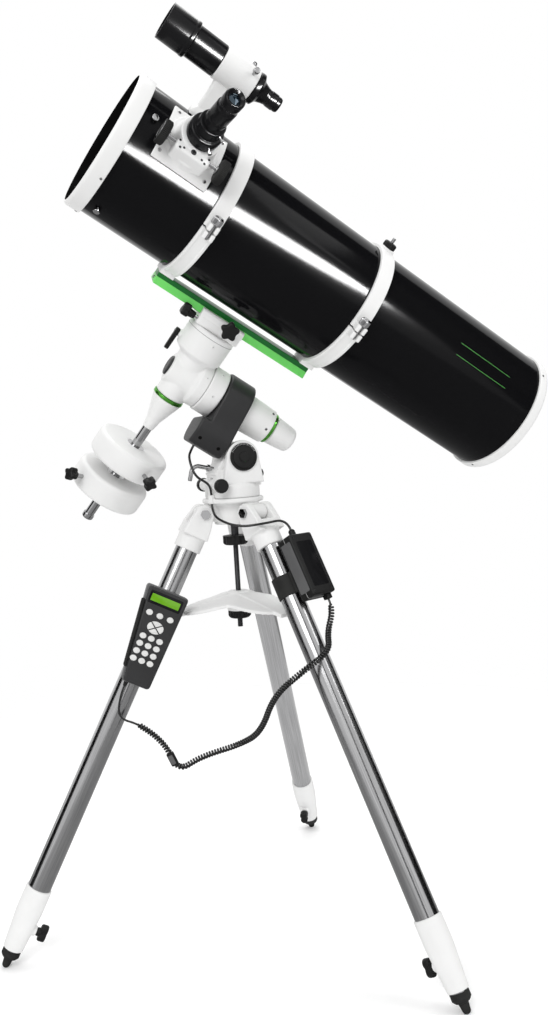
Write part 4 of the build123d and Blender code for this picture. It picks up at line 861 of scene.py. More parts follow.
# The focuser's place on the tube, and the hole below it
focus = {"station": 215, "turn": -50, "hole": 26.2}
focusAt = radialAt(focus["station"], 0, focus["turn"])
focusHole = rodChunk(focusAt, focus["hole"], 60, 160, 72)

# Tube: gloss outside with rolled lips, flat black inside
tube = {"radius": 115, "wall": 1.6, "front": 314, "back": -552, "segments": 256}
bore = tube["radius"] - tube["wall"]
liningLine = [(bore, tube["front"]), (bore, tube["back"])]
skinLine = [
    (bore, tube["back"]), (tube["radius"], tube["back"]), (tube["radius"], tube["front"]),
    (bore, tube["front"])
]
tubeRough = objectOf("tubeRough", meshOf("tubeRough", [
    turned(tubeBlack, tubeAt(0), skinLine, tube["segments"]),
    turned(flatBlack, tubeAt(0), liningLine, tube["segments"]),
]))
tubeShell = cutPiece(tubeRough, "tubeShell", "tube", tubeBlack, ["optical_tube"], [focusHole])

# Two thin green lines near the mirror end
stripes = {"angles": (-53.7, -65.4), "from": -476, "to": -358, "halfWidth": 0.11}
stripeLoop = [
    (114.9, stripes["from"]), (115.12, stripes["from"]), (115.12, stripes["to"]), (114.9, stripes["to"]),
    (114.9, stripes["from"])
]
piece("tubeStripes", "tube", [
    (
        barGreen,
        turnedChunk(
            tubeAt(0), stripeLoop, 2, None, (turn - stripes["halfWidth"], turn + stripes["halfWidth"])
        )
    )
    for turn in stripes["angles"]
])

# End rings: a rolled white ring at the mouth, and the mirror cell with its three pairs of screws
endRing = {"outer": 119.5, "seat": 115.1}
mouthOuter = [
    (113.5, 331, 0), (116.5, 331, 1.5), (endRing["outer"], 327, 3), (endRing["outer"], 303, 1.2),
    (endRing["seat"], 303, 0),
]
mouthInner = [
    (endRing["seat"], 303), (endRing["seat"], 314.1), (111, 314.1), (111, 329), (112, 331), (113.5, 331),
]
ringScrews = {"angles": (-111, -168, 40, 130), "station": 308, "size": (2.2, 1.0)}
mouthParts = [
    turned(whitePaint, tubeAt(0), mouthOuter, 224, 1),
    turned(flatBlack, tubeAt(0), mouthInner, 224),
]
mouthParts += tubeScrews(ringScrews["station"], endRing["outer"], ringScrews["angles"], *ringScrews["size"])
piece("mouthRing", "tube", mouthParts, ["front_ring"])
cell = [
    (30, -560, 0.6), (103, -560, 1.5), (107, -563, 1.5), (116.5, -563, 2), (endRing["outer"], -559, 2.5),
    (endRing["outer"], -543, 1.2), (endRing["seat"], -543, 0.3), (endRing["seat"], -552.1, 0.3),
    (109, -552.1, 0.5), (105, -556, 1), (30, -557, 0.6)
]
cellKnobs = {
    "radius": 71, "first": 60, "step": 120, "reach": 14, "seat": -559.5, "lockOut": 6, "lockTurn": 24
}
cellPosts = {"station": -558, "first": 30, "radius": 9, "height": 14.8}
cellScrews = {"angles": (-150, -30, 90), "station": -548}
cellParts = [turned(whitePaint, tubeAt(0), cell, 224, 1, closed=True)]


def cellSpot(station, reach, turn):
    return tubePoint(station, cellKnobs["radius"] + reach, turn)


for step in range(3):
    turn = cellKnobs["first"] + step * cellKnobs["step"]
    knobAt = place(cellSpot(cellKnobs["seat"], 0, turn), -tubeWay, decWay)
    knobGrip = (0, cellKnobs["reach"] - 1.5, 24, 0.6)
    cellParts.append(rod(knobBlack, knobAt, 7, -1, cellKnobs["reach"], 96, 1.4, knobGrip))
    lockSpot = cellSpot(cellKnobs["seat"], cellKnobs["lockOut"], cellKnobs["lockTurn"] + turn)
    cellParts += screwChunks(place(lockSpot, -tubeWay, decWay), 3.2, 2.2)
    postTurn = cellPosts["first"] + step * cellKnobs["step"]
    postAt = place(cellSpot(cellPosts["station"], 0, postTurn), tubeWay, decWay)
    cellParts.append(rod(darkSteel, postAt, cellPosts["radius"], 0, cellPosts["height"], 40, 1))
cellParts += tubeScrews(cellScrews["station"], endRing["outer"], cellScrews["angles"], *ringScrews["size"])
piece("mirrorCell", "tube", cellParts, ["mirror_cell"])
dish = [
    (0, -543), (101, -543, 1), (101.5, -522, 0.8), (100, -521, 0.4), (75, -522.4, 0), (50, -523.3, 0),
    (25, -523.8, 0), (0, -524)
]
piece("mainMirror", "tube", [
    turned(glassBlack, tubeAt(0), dish[:4], 128, 0.5),
    (mirrorCoat, turnedChunk(tubeAt(0), [row[:2] for row in dish[3:]], 128)),
], ["primary_mirror"])

# Spider: hub and four vanes, and the secondary mirror on a stub cut at 45 degrees
spider = {
    "station": 285, "vaneDepth": 28, "vane": 1.2, "hub": 18, "hubHalf": 14, "reach": 113.2, "mirror": 26
}
spiderParts = [
    rod(flatBlack, tubeAt(spider["station"]), spider["hub"], -spider["hubHalf"], spider["hubHalf"], 64, 2),
    rod(flatBlack, tubeAt(241), 12.6, 0, 44, 40),
]
spiderParts += screwChunks(tubeAt(spider["station"] + spider["hubHalf"]), 4, 2)
for turn in range(4):
    way = aroundTube(focus["turn"] + 90 * turn)
    vaneAt = place(tubeMid + tubeWay * spider["station"], way, tubeWay)
    vaneLine = boxOutline(spider["vaneDepth"], spider["vane"], 0.5)
    spiderParts.append(plate(flatBlack, vaneAt, vaneLine, 10, spider["reach"], 0.3))
    nutAt = radialAt(spider["station"], tube["radius"], focus["turn"] + 90 * turn)
    spiderParts += thumbScrew(nutAt, 3, 7.5, 5.6, 5.5, 20)
turnRound = np.linspace(0, 2 * np.pi, 65)
stubRows = np.stack(
    [
        np.stack([spider["mirror"] * np.cos(turnRound), spider["mirror"] * np.sin(turnRound), rise], -1)
        for rise in (spider["mirror"] * np.cos(turnRound), np.full(65, float(spider["mirror"])))
    ]
)
stubAt = place(tubeMid + tubeWay * focus["station"], tubeWay, aroundTube(focus["turn"]))
stub = gridChunk(put(stubAt, stubRows), "rows")
spiderParts.append((flatBlack, (stub[0], stub[1][:-2] + stub[1][-1:], stub[2])))
spiderParts.append((mirrorCoat, (stub[0], stub[1][-2:-1], stub[2])))
piece("spiderVanes", "tube", spiderParts, ["spider"])
print("tube, end rings, mirrors and spider made")

# Clamp rings: lower halves with feet and slotted lugs, upper halves hinged on the far side
clamps = {"places": (127, -172), "inner": 115.4, "outer": 121.9, "half": 13.5, "split": -96, "gap": 0.7,
          "knuckle": 6, "footRise": 134.5, "footHalf": 26, "footReach": 118.0, "lugOut": 10, "recess": 1.2}
hingeTurn = clamps["split"] + 180
hingeReach = clamps["outer"] + clamps["knuckle"] - 1
lugMiddle = clamps["outer"] + clamps["lugOut"]


def ringSection(station, recess):
    low, high = station - clamps["half"], station + clamps["half"]
    loop = [(clamps["inner"], low, 0.5), (clamps["outer"], low, 1.5)]
    if recess:
        loop += [(clamps["outer"], low + 4.5, 0.6), (clamps["outer"] - clamps["recess"], low + 6, 0.8),
                 (clamps["outer"] - clamps["recess"], high - 6, 0.8), (clamps["outer"], high - 4.5, 0.6)]
    loop += [(clamps["outer"], high, 1.5), (clamps["inner"], high, 0.5)]
    return soften(loop, 1, True)


def lugChunk(station, side):
    way = -side * aroundTube(hingeTurn + 90)
    seat = place(
        tubePoint(station, lugMiddle, clamps["split"]) + way * 1.2, way, aroundTube(clamps["split"])
    )
    outline = soften(
        [
            (-12, -10), (12, -10, 4), (12, -3.3, 1), (-3, -3.3, 1), (-3, 3.3, 1), (12, 3.3, 1), (12, 10, 4),
            (-12, 10)
        ],
        0.5, True
    )[:-1]
    return plateChunk(seat, outline, 0, 12, 1.4)


def knuckleChunk(station, low, high):
    at = place(tubePoint(station, hingeReach, hingeTurn), tubeWay, decWay)
    return rodChunk(at, clamps["knuckle"], low, high, 40, 0.8)


lowerParts, upperParts, screwParts = [], [], []
for station in clamps["places"]:
    lowerArc = (hingeTurn + clamps["gap"], hingeTurn + 180 - clamps["gap"])
    upperArc = (clamps["split"] + clamps["gap"], clamps["split"] + 180 - clamps["gap"])
    lowerParts.append((whitePaint, turnedChunk(tubeAt(0), ringSection(station, True), 120, None, lowerArc)))
    upperParts.append(
        (whitePaint, turnedChunk(tubeAt(0), ringSection(station, False), 120, None, upperArc))
    )
    lowerParts.append((whitePaint, lugChunk(station, -1)))
    upperParts.append((whitePaint, lugChunk(station, 1)))
    half, rise = clamps["half"], clamps["footRise"]
    footAt = place(crossing + tubeWay * station + decWay * rise, decWay, tubeWay)
    footRows = []
    for across in np.linspace(-clamps["footHalf"], clamps["footHalf"], 15):
        top = (tubeMid - crossing) @ decWay - rise - np.sqrt(clamps["footReach"]**2 - across**2)
        footRows.append([(-half, across, 0), (half, across, 0), (half, across, top), (-half, across, top)])
    lowerParts.append((whitePaint, loftChunk(put(footAt, np.array(footRows)))))
    lowerParts.append((whitePaint, knuckleChunk(station, -4.2, 4.2)))
    upperParts += [(whitePaint, knuckleChunk(station, low, low + 9)) for low in (-13.5, 4.5)]
    pinAt = place(tubePoint(station, hingeReach, hingeTurn), tubeWay, decWay)
    lowerParts.append(rod(chrome, pinAt, 2.5, -13.6, 13.6, 24, 0.4))
    screwWay = aroundTube(hingeTurn - 90)
    screwAt = place(tubePoint(station, lugMiddle + 2, clamps["split"]) - screwWay * 12.5, screwWay, tubeWay)
    threadLine = threadOutline(2.85, -2, 26, 1.25, 113)
    screwParts.append(
        (chrome, turnedChunk(screwAt, np.concatenate([[(0, -2)], threadLine, [(0, 26)]]), 24))
    )
    knobLine = soften([(0, 25.2), (8, 25.2), (9, 28), (9, 36), (6, 40), (0, 40)], 1.2)
    screwParts.append(turned(chrome, screwAt, knobLine, 120, 0, (27, 36.5, 30, 0.7)))
    washer = ringLine(3.1, 6.5, 24.7, 25.4, 0.2)
    screwParts.append(turned(chrome, screwAt, washer, 32))
stud = {"station": -172, "turn": -6, "seat": 119.9}
studAt = radialAt(stud["station"], stud["seat"], stud["turn"])
upperParts.append(plate(whitePaint, studAt, boxOutline(23, 23, 4), 0, 6, 1.5))
piece("ringLowers", "dovetail", lowerParts, ["ring_lower_halves"])
piece("ringUppers", "ring_tops", upperParts, ["ring_upper_halves"])
piece("ringScrews", "ring_screws", screwParts, ["ring_clamp_screws"])
knobAt = moved(studAt, 6.1)
piece("studKnob", "camera_knob", [
    turned(knobBlack, knobAt, [(0, 0), (12, 0), (12, 8), (10, 10), (0, 10)], 120, 1.2, (0.5, 8.2, 20, 1.0)),
    rod(chrome, knobAt, 3.17, 9, 19, 28, 0.6),
], ["camera_knob"])

# Dovetail bar: light green sides that lean in, and above them a deeper green that paints the shade and the
# black tube's reflection on the bar's top
bar = {
    "back": -182, "front": 140, "floor": -112.5, "shoulder": -125.4, "top": -134.4, "low": 22, "high": 18.5
}
barAt = place(crossing + tubeWay * bar["back"], tubeWay, tubeSide)
barLength = bar["front"] - bar["back"]
lowOutline = soften(
    [
        (-bar["low"], bar["floor"]), (bar["low"], bar["floor"]), (bar["high"], bar["shoulder"], 0.2),
        (-bar["high"], bar["shoulder"], 0.2)
    ],
    1.2, True
)[:-1]
highOutline = boxOutline(
    2 * bar["high"] - 0.2, bar["shoulder"] - bar["top"] + 0.1, 0.8,
    (0, (bar["shoulder"] + bar["top"] + 0.1) / 2)
)
barParts = [
    plate(barGreen, barAt, lowOutline, 0, barLength, 1.2),
    plate(paintedShadeGreen, barAt, highOutline, 0.3, barLength - 0.3, 0.8)
]
for station in clamps["places"]:
    for across in (-10, 10):
        spot = crossing + tubeWay * station + tubeSide * across - decWay * bar["floor"]
        barParts += screwChunks(place(spot, -decWay, tubeWay), 4.5, 0.4)
for end, way in ((bar["back"], -tubeWay), (bar["front"], tubeWay)):
    barParts += screwChunks(place(crossing + tubeWay * end + decWay * 119, way, decWay), 3, 1.6)
piece("greenBar", "dovetail", barParts, ["dovetail_bar"])
print("rings and dovetail bar made")

# Focuser: a curved plate that flares up to a round neck, with a bearing for the axle
focuser = {"plateHalf": 26, "neck": 34, "axleSide": 30, "axleRise": 142,
           "flare": 13, "foot": 118.5, "neckRise": 142, "plateTop": 120.1}
focusWay = aroundTube(focus["turn"])
focusSide = aroundTube(focus["turn"] + 90)
plateLoop = ringLine(115.2, focuser["plateTop"], 165, 265, 1.2)
plateArc = (focus["turn"] - focuser["plateHalf"], focus["turn"] + focuser["plateHalf"])
turnRound = np.linspace(0, 2 * np.pi, 97)
flareRows = []
for part in np.linspace(0, 1, 16):
    reach = focuser["neck"] + focuser["flare"] * (1 - part) ** 2.4
    foot = np.sqrt(focuser["foot"]**2 - (reach * np.sin(turnRound)) ** 2)
    rise = foot + (focuser["neckRise"] - foot) * part**1.3
    flareRows.append(np.stack([reach * np.cos(turnRound), reach * np.sin(turnRound), rise], -1))
axleMiddle = tubePoint(
    focus["station"], focuser["axleRise"], focus["turn"]
) - focusSide * focuser["axleSide"]
bearingAt = place(axleMiddle - focusWay * 26, focusWay, tubeWay)
castPiece("focuserCasting", "tube", castWhite, [
    turnedChunk(tubeAt(0), plateLoop, 60, None, plateArc),
    gridChunk(put(focusAt, np.array(flareRows)), "rows"),
    rodChunk(focusAt, 34, 125, 150, 96, 2),
    rodChunk(focusAt, 45, 112, 126, 96, 2),
    plateChunk(bearingAt, boxOutline(60, 17, 6, (0, 4.5)), 0, 33, 4),
], ["focuser_base"], 1.1, 4, [focusHole])
focuserTrim = []
for station, turn in ((257, -69), (174, -69.6), (255, -30), (174, -30)):
    focuserTrim += screwChunks(radialAt(station, focuser["plateTop"], turn), 3, 1.2)
coverAt = place(axleMiddle + focusWay * 7 - focusSide * 4, focusWay, tubeWay)
focuserTrim += screwChunks(coverAt, 4.6, 1.2, darkSteel)
for along, across in ((-26, -5), (-16, 3), (-9, -4), (9, -4), (16, 3), (26, -5), (-22, 6), (22, 6)):
    spot = put(coverAt, np.array([along, across, 0.0]))
    focuserTrim += screwChunks(place(spot, focusWay, tubeWay), 2.0, 0.4, darkSteel)
piece("focuserTrim", "tube", focuserTrim)

# Drawtube with its collar and adapter, and a thumb screw in each
drawLine = [
    (23.5, 98), (25.5, 98), (25.5, 154, 0.3), (28, 154, 1), (28, 170, 2), (26, 172, 1), (22, 172, 0.5),
    (22, 189, 1), (21, 190, 0.6), (16.2, 190, 0.3), (16.2, 154), (23.5, 154)
]
drawParts = [turned(opticsBlack, focusAt, drawLine, 144, 0.4, (156, 167, 48, 0.45), closed=True)]
for height, reach, way in ((163, 28, (-0.55, 0.83)), (181, 22, (-0.9, 0.43))):
    wayNow = tubeWay * way[0] - focusSide * way[1]
    drawParts += thumbScrew(
        place(focusAt[0] + focusWay * height + wayNow * reach, wayNow, focusWay), 1.8, 10, 3.4, 6, 16
    )
drawTube = piece("drawTube", "drawtube", drawParts, ["drawtube"])

# Focus knobs: a bright axle with a ribbed wheel and a bright face at each end
wheel = {"half": 52, "inner": 45.5, "radius": 20, "thick": 13, "face": 14.5}
axleAt = place(axleMiddle, tubeWay, focusWay)
knobParts = [rod(chrome, axleAt, 3, -wheel["half"], wheel["half"], 28, 0.4)]
for side in (-1, 1):
    wheelAt = place(axleMiddle + tubeWay * side * wheel["inner"], tubeWay * side, focusWay)
    tyreLine = soften(
        [
            (0, 0), (17, 0), (wheel["radius"], 2), (wheel["radius"], 12), (19, wheel["thick"]),
            (0, wheel["thick"])
        ],
        1
    )
    faceLine = soften(
        [(0, 12), (wheel["face"], 12), (wheel["face"], 13.4), (12, 13.4), (11.5, 12.9), (0, 12.9)], 0.3
    )
    knobParts.append(turned(rubber, wheelAt, tyreLine, 240, 0, (1, 12.4, 48, 0.9)))
    knobParts.append(turned(chrome, wheelAt, faceLine, 72))
    knobParts.append(rod(chrome, wheelAt, 7, -3, 0.5, 40, 0.8))
piece("focusWheels", "focus_knobs", knobParts, ["focus_knobs"])

# Eyepiece: barrel, ribbed rubber grip, eyecup and eye lens
eyeLine = [
    (13.9, 158), (15.9, 158, 0.4), (15.9, 190.1, 0.2), (17.5, 190.1, 1), (17.5, 205, 0.6), (16.6, 206, 0.4),
    (16.6, 208, 0.4), (17.5, 209, 0.6), (17.5, 234, 1), (15.8, 237, 1), (15.8, 243, 1), (16.8, 246, 2),
    (16.8, 259, 2), (14.5, 262, 1.5), (9.5, 258, 1), (9.2, 256, 0.3), (9.2, 200), (13.9, 196)
]
eyeBarrel = piece("eyeBarrel", "eyepiece", [
    turned(opticsBlack, focusAt, eyeLine, 160, 0.5, (211, 232, 40, 0.5), closed=True),
    turned(lensCoat, focusAt, [(0, 252), (9.3, 252), (9.3, 254.6), (6, 255.4), (3, 255.8), (0, 256)], 64),
], ["eyepiece"])

# Finder: cell with its lens, tube, neck inside the bracket, flange and eyepiece
finder = {"reach": 204, "turn": -8, "screws": 190, "screwReach": 23.5, "shoe": 206, "stalk": 217.5}
finderOut = aroundTube(finder["turn"])
finderSide = aroundTube(finder["turn"] + 90)
finderAt = place(tubePoint(0, finder["reach"], finder["turn"]), tubeWay, finderOut)
finderLine = [
    (0, 327), (26.4, 327, 0.3), (27, 343, 0.5), (29.5, 343, 1), (29.5, 301, 0.6), (30.2, 299, 0.5),
    (30.2, 294, 0.8), (26.5, 292, 0.6), (26.5, 242, 0.8), (20.5, 242), (20.5, 176), (26, 176, 1.2),
    (26, 168, 1.5), (17.5, 163, 2), (13.4, 152, 2), (13.4, 150, 0.4), (12.8, 149.6, 0.3), (12.8, 146, 0.3),
    (13.4, 145.6, 0.3), (13.4, 134, 0.6), (12.4, 133, 0.4), (12.4, 128, 0.6), (11, 125, 1), (7, 125, 1),
    (6.2, 129, 0.5), (0, 129)
]
finderBody = piece("finderBody", "finder", [
    turned(opticsBlack, finderAt, finderLine, 160, 0.5, (135, 145, 40, 0.5)),
    turned(lensCoat, finderAt, [(26.4, 327), (26.4, 330), (18, 332.6), (9, 334), (0, 334.4)], 96),
    turned(lensCoat, finderAt, [(0, 128.2), (3, 128.4), (6.2, 129)], 40),
], ["finder_tube"])

# The long oval lamp lights the tube's skin and the black barrels only
bandShare = bpy.data.collections.new("bandShare")
for lit in (tubeShell, drawTube, eyeBarrel, finderBody):
    bandShare.objects.link(lit)
bandObject.light_linking.receiver_collection = bandShare

# Finder bracket: a ring round the finder, a stalk down to the tube and its thumb screws
bracketLoop = soften(
    [(22, 177.3, 0.6), (25.3, 177.3, 2), (27.5, 203, 4), (27.5, 240.7, 2), (22, 240.7, 0.6)], 1, True
)
stalkAt = radialAt(finder["stalk"], 115.2, finder["turn"])
stalkRows = []
for height, along, across in (
    (0, 45, 30), (6, 45, 30), (10, 42, 27), (16, 31, 20), (40, 29, 20), (64, 31, 24)
):
    stalkRows.append(raised(stalkAt, boxOutline(along, across, 4), height))
piece("finderRing", "tube", [turned(whitePaint, finderAt, bracketLoop, 160)], ["finder_bracket"])
castPiece("finderStalk", "tube", castWhite, [loftChunk(stalkRows)], (), 1.0, 4)
finderTrim = []
for turn in (-50, 50):
    way = between(finderOut, finderSide, turn)
    screwSpot = tubePoint(finder["screws"], finder["reach"], finder["turn"]) + way * finder["screwReach"]
    finderTrim += thumbScrew(place(screwSpot, way, tubeWay), 2.4, 18, 5.2, 7.5, 20)
shoeSpot = tubePoint(finder["shoe"], 121, finder["turn"]) - finderSide * 15
shoeScrew = place(shoeSpot, -finderSide, tubeWay)
finderTrim += thumbScrew(shoeScrew, 2, 11, 4, 6.5, 16)
piece("finderScrews", "tube", finderTrim)
print("focuser, eyepiece and finder made")

# Saddle: a plate on the declination shaft with two jaws, and its two screws
saddle = {"long": 86, "wide": 68, "low": 96.3, "floor": 112.4}
saddleLine = boxOutline(saddle["long"], saddle["wide"], 7)
saddleAt = place(crossing, decWay, tubeWay)
saddleParts = [plate(whitePaint, saddleAt, saddleLine, saddle["low"], saddle["floor"], 2)]
for side in (-1, 1):
    jawAt = place(crossing - tubeWay * saddle["long"] / 2, tubeWay, tubeSide * side)
    jawLine = [
        (across, -rise * side)
        for across, rise in ((22.6, 111), (34, 111), (34, 122), (31, 125.3), (19.4, 125.3))
    ]
    saddleParts.append(plate(whitePaint, jawAt, soften(jawLine, 1.2, True)[:-1], 0, saddle["long"], 1.5))
piece("saddlePlate", "declination", saddleParts, ["dovetail_saddle"])
starAt = place(crossing + decWay * 118.9 - tubeWay * 10 - tubeSide * 22, -tubeSide, tubeWay)
starKnob = lobedKnob(starAt, (4, 4, 31, 28), (17, 5, 4.5), (30, 42, 3), (8, 10, 24, 31, 1, 48))
piece("saddleStar", "saddle_star_knob", starKnob, ["saddle_star_knob"])
frontAt = place(crossing + decWay * 104.4 + tubeWay * 27 - tubeSide * 27, tubeWay, decWay)
frontKnob = lobedKnob(frontAt, (3, 1, 33, 24), (13, 3, 4), (34, 48, 3), (6, 8, 22, 35, 1, 48))
piece("saddleFront", "saddle_front_knob", frontKnob, ["saddle_front_knob"])

# Declination head: neck on the polar axis, drum and tail on the declination axis, one casting
neckLine = soften([(0, -41.7), (43, -41.7), (43, -24), (35, -19), (34, 0), (28, 30.5), (0, 30.5)], 2.5)
drumLine = soften([(0, -46.9), (28, -46.9), (29, 0), (31, 36), (45, 46), (45, 96), (0, 96)], 2.5)
bossAt = place(crossing + decWay * 60, polar, decWay)
castPiece("headCasting", "right_ascension", castWhite, [
    turnedChunk(polarAt(0), neckLine, 96),
    turnedChunk(decAt(0), drumLine, 96),
    rodChunk(bossAt, 7.4, 30, 49, 40, 1),
], ["dec_housing"], 1.3, 6)
headTrim = [(jointAndShadeGrey, turnedChunk(decAt(0), ringLine(44, 45.25, 86.6, 87.6, 0.2), 96))]
# Screw heads in the casting's white paint, with a grey slot cross that paints the shade in the slots
painted = castWhite, jointAndShadeGrey
headTrim += screwRing(
    crossing + decWay * 78, decWay, polar, level, 44.8, (20, 140, 260), 3.2, 0.9, *painted
)
headTrim += screwRing(crossing - polar * 33, polar, polarUp, east, 42.8, (40, 160, 280), 2.6, 0.8, *painted)
piece("headTrim", "right_ascension", headTrim)
capLine = soften([(0, 30.6), (19, 30.6), (18, 33.6), (16, 34.6), (0, 34.6)], 0.8)
piece("frontCap", "right_ascension", [
    turned(coverGrey, polarAt(0), capLine, 80),
    (sideGrey, turnedChunk(polarAt(0), ringLine(11, 12.4, 34.2, 35.2, 0.3), 64)),
], ["polar_front_cap"])
leverAt = place(crossing + decWay * 60 + polar * 49.3, polar, decWay)
leverLine = soften(
    [(6.5, -6.5), (6.5, 6.5), (-10, 6), (-37.5, 4.4), (-37.5, -4.4), (-10, -6)], 6, True
)[:-1]
piece(
    "clutchLever", "dec_lever",
    [plate(knobBlack, leverAt, leverLine, 0, 8, 1.8)] + screwChunks(moved(leverAt, 8), 3.4, 1),
    ["dec_clutch_lever"]
)

# Counterweight side: green ring, cone, bar and two weights with their knobs
greenLine = ringLine(9.2, 29.5, -47.1, -53, 0.8)
coneLine = soften(
    [(9.2, -53.1), (28, -53.1), (27.4, -58), (20, -80), (13.5, -100), (10.5, -119), (9.2, -119)], 1.5, True
)
piece("barCone", "right_ascension", [
    turned(ringGreen, decAt(0), greenLine, 96), turned(whitePaint, decAt(0), coneLine, 96),
], ["counterweight_cone"])
shaftLine = soften(
    [(0, -48), (9, -48), (9, -322, 0), (11, -322, 0.6), (11, -330, 1.2), (9, -332, 1), (0, -332)], 0.8
)
piece(
    "weightBar", "right_ascension", [turned(chrome, decAt(0), shaftLine, 64)],
    ["counterweight_bar"]
)
weights = {"upper": (-160, 243), "lower": (-228, 324)}
weightThick = 45
for name, (top, turn) in weights.items():
    low = top - weightThick
    weightLine = [
        (9.35, top, 0.3), (17, top, 0.2), (17.3, top - 0.7, 0.2), (18.2, top - 0.7, 0.2), (18.5, top, 0.2),
        (70, top, 9), (70, low, 9), (18.5, low, 0.2), (18.2, low + 0.7, 0.2), (17.3, low + 0.7, 0.2),
        (17, low, 0.2), (9.35, low, 0.3)
    ]
    insets = [(9.32, top + 0.05), (17, top + 0.05)], [(17, low - 0.05), (9.32, low - 0.05)]
    piece(name + "Weight", name + "_counterweight", [
        (castWhite, turnedChunk(decAt(0), soften(weightLine, 1, True, 8), 128)),
    ] + [turned(chrome, decAt(0), line, 64) for line in insets], [name + "_counterweight"])
    knobAt = place(crossing + decWay * (top - weightThick / 2), between(polar, level, turn), decWay)
    weightKnob = lobedKnob(
        knobAt, (4, 9.6, 90, 28), (13, 4, 4.2), (88.5, 104, 3.2), (6, 7.5, 84, 89.5, 0.8, 36)
    )
    piece(
        name + "WeightKnob", name + "_counterweight_knob", weightKnob,
        [name + "_counterweight_knob"]
    )
print("declination head and counterweights made")

# Polar housing: flange, tapering body and the barrel that sits in the fork
housingLine = soften([(0, -42), (45, -42), (45, -73), (35, -74), (35, -133), (32.5, -185), (0, -185)], 2)
lugAt = place(pivot - east * 30.3, east, polar)
lugLine = np.concatenate([arcLine(26, 180, 360, 40) * [1, -1], [(26, -52), (-23.4, -52)]])
castPiece("polarCasting", "altitude", castWhite, [
    turnedChunk(polarAt(0), housingLine, 96), plateChunk(lugAt, lugLine, 0, 60.6, 1.5),
], ["polar_housing"], 1.3, 6)
housingScrews = (250, 310, 10, 130)
housingTrim = screwRing(crossing - polar * 176, polar, polarUp, east, 32.8, housingScrews, 2.6, 0.9)
housingTrim += screwRing(crossing - polar * 57, polar, polarUp, east, 44.8, housingScrews, 3, 0.9, *painted)
piece("housingTrim", "altitude", housingTrim)

# Motor cover: a collar round the housing and a lobe below it
coverAt = place(crossing - polar * 127, polar, -east)
coverLow = [(-24, -84), (-14, -100), (36, -104), (50, -78)]
collarLine = np.concatenate([arcLine(48, 0, 203, 50), soften([(-44, -19)] + coverLow + [(48, -1)], 9)])
lobeLine = soften([(50, -52), (-24, -52)] + coverLow, 9, True)[:-1]
castPiece("motorCover", "altitude", coverGrey, [
    plateChunk(coverAt, collarLine, 0, 52, 3), plateChunk(coverAt, lobeLine, 0, 68, 3),
], ["ra_motor_cover"], 1.3, 10)
# Painted shade: two flat black discs on the cover stand for its screw holes, their black the shade inside
# the holes
screwFace = unit(-east * 26 - polarUp * 14)
coverHoles = []
for along in (-73, -112):
    spot = crossing + polar * along - polarUp * 90 - east * 43
    coverHoles.append(rod(flatBlack, place(spot, screwFace, polar), 3.4, -3, 0.6, 28, 0.4))
piece("coverHoles", "altitude", coverHoles)
capGreen = soften([(0, -185.1), (29.5, -185.1), (29.5, -191), (0, -191)], 0.9)
capWhite = soften([(0, -191.2), (27, -191.2), (26, -208), (23, -234.4), (18, -239.2), (0, -239.2)], 2.5)
piece("scopeCap", "altitude", [
    turned(ringGreen, polarAt(0), capGreen, 96),
    turned(whitePaint, polarAt(0), capWhite, 96),
], ["polar_scope_cap"])

# Azimuth base: round foot, fork cheeks, two bridges and the boss of the azimuth screws
forkArc = arcLine(30, 0, 180, 40) + [pivot[0], pivot[2]]
forkLine = np.concatenate([forkArc, [(-31, hubTop + 26), (47, hubTop + 26)]])
forkChunks = [
    turnedChunk(
        place(up * (hubTop + 0.1), up, polar), soften([(0, 0), (50, 0), (50, 20), (46, 28), (0, 28)], 2.5),
        96
    )
]
for low, high in ((31.5, 47), (-47, -31.5)):
    forkChunks.append(plateChunk(place((0, 0, 0), -east, south), forkLine, -high, -low, 2.5))
forkChunks.append(plateChunk(place((-32, 0, hubTop + 20), up, south), boxOutline(12, 66, 2), 0, 34, 2))
forkChunks.append(plateChunk(place((40, 0, hubTop + 20), up, south), boxOutline(12, 66, 2), 0, 25.6, 2))
forkChunks.append(rodChunk(place((-38, -47, hubTop + 24), east, south), 11, 0, 94, 48, 1.5))
notch = plateChunk(place((-48, 0, hubTop - 1), up, south), boxOutline(44, 20, 2), 0, 39, 0.5)
castPiece("forkCasting", "azimuth", castWhite, forkChunks, ["azimuth_base"], 1.3, 5, [notch])
screwSet = []
for side in (-1, 1):
    knobAt = place((-38, 49.2 * side, hubTop + 24), east * side, up)
    shank = rodChunk(knobAt, 4, -38, 1, 28)
    headLine = soften([(0, 0), (11, 0), (13, 2), (13, 10), (10, 13), (0, 13)], 1.5)
    head = turnedChunk(knobAt, headLine, 144, (1, 11, 24, 1.0))
    screwSet += [(chrome, shank), (knobBlack, head)]
piece("azimuthKnobs", "azimuth_screws", screwSet, ["azimuth_screws"])

# Altitude pivot: a black disc with a white scale at each end of a bright bolt
discParts = [rod(darkSteel, place(pivot - east * 48, east, up), 6, 0, 96, 36)]
for side in (-1, 1):
    discAt = place(pivot + east * side * 47.1, east * side, up)
    discLine = soften([(0, 0), (25, 0), (25, 3, 0.5), (21, 3, 0.3), (20, 6, 0.8), (0, 6)], 0.6)
    discParts.append(turned(knobBlack, discAt, discLine, 96))
    discParts.append(rod(knobBlack, discAt, 9, 5.8, 8, 40, 0.8))
    for tick in range(-9, 10):
        way = between(up, south, tick * 7)
        tickAt = place(pivot + east * side * 50.1 + way * 23, east * side, way)
        tickLine = boxOutline(3.2 if tick % 3 == 0 else 2, 0.5, 0.1)
        discParts.append(plate(whitePaint, tickAt, tickLine, -0.2, 0.1, 0.02, 1))
piece("pivotDiscs", "azimuth", discParts, ["altitude_pivot"])

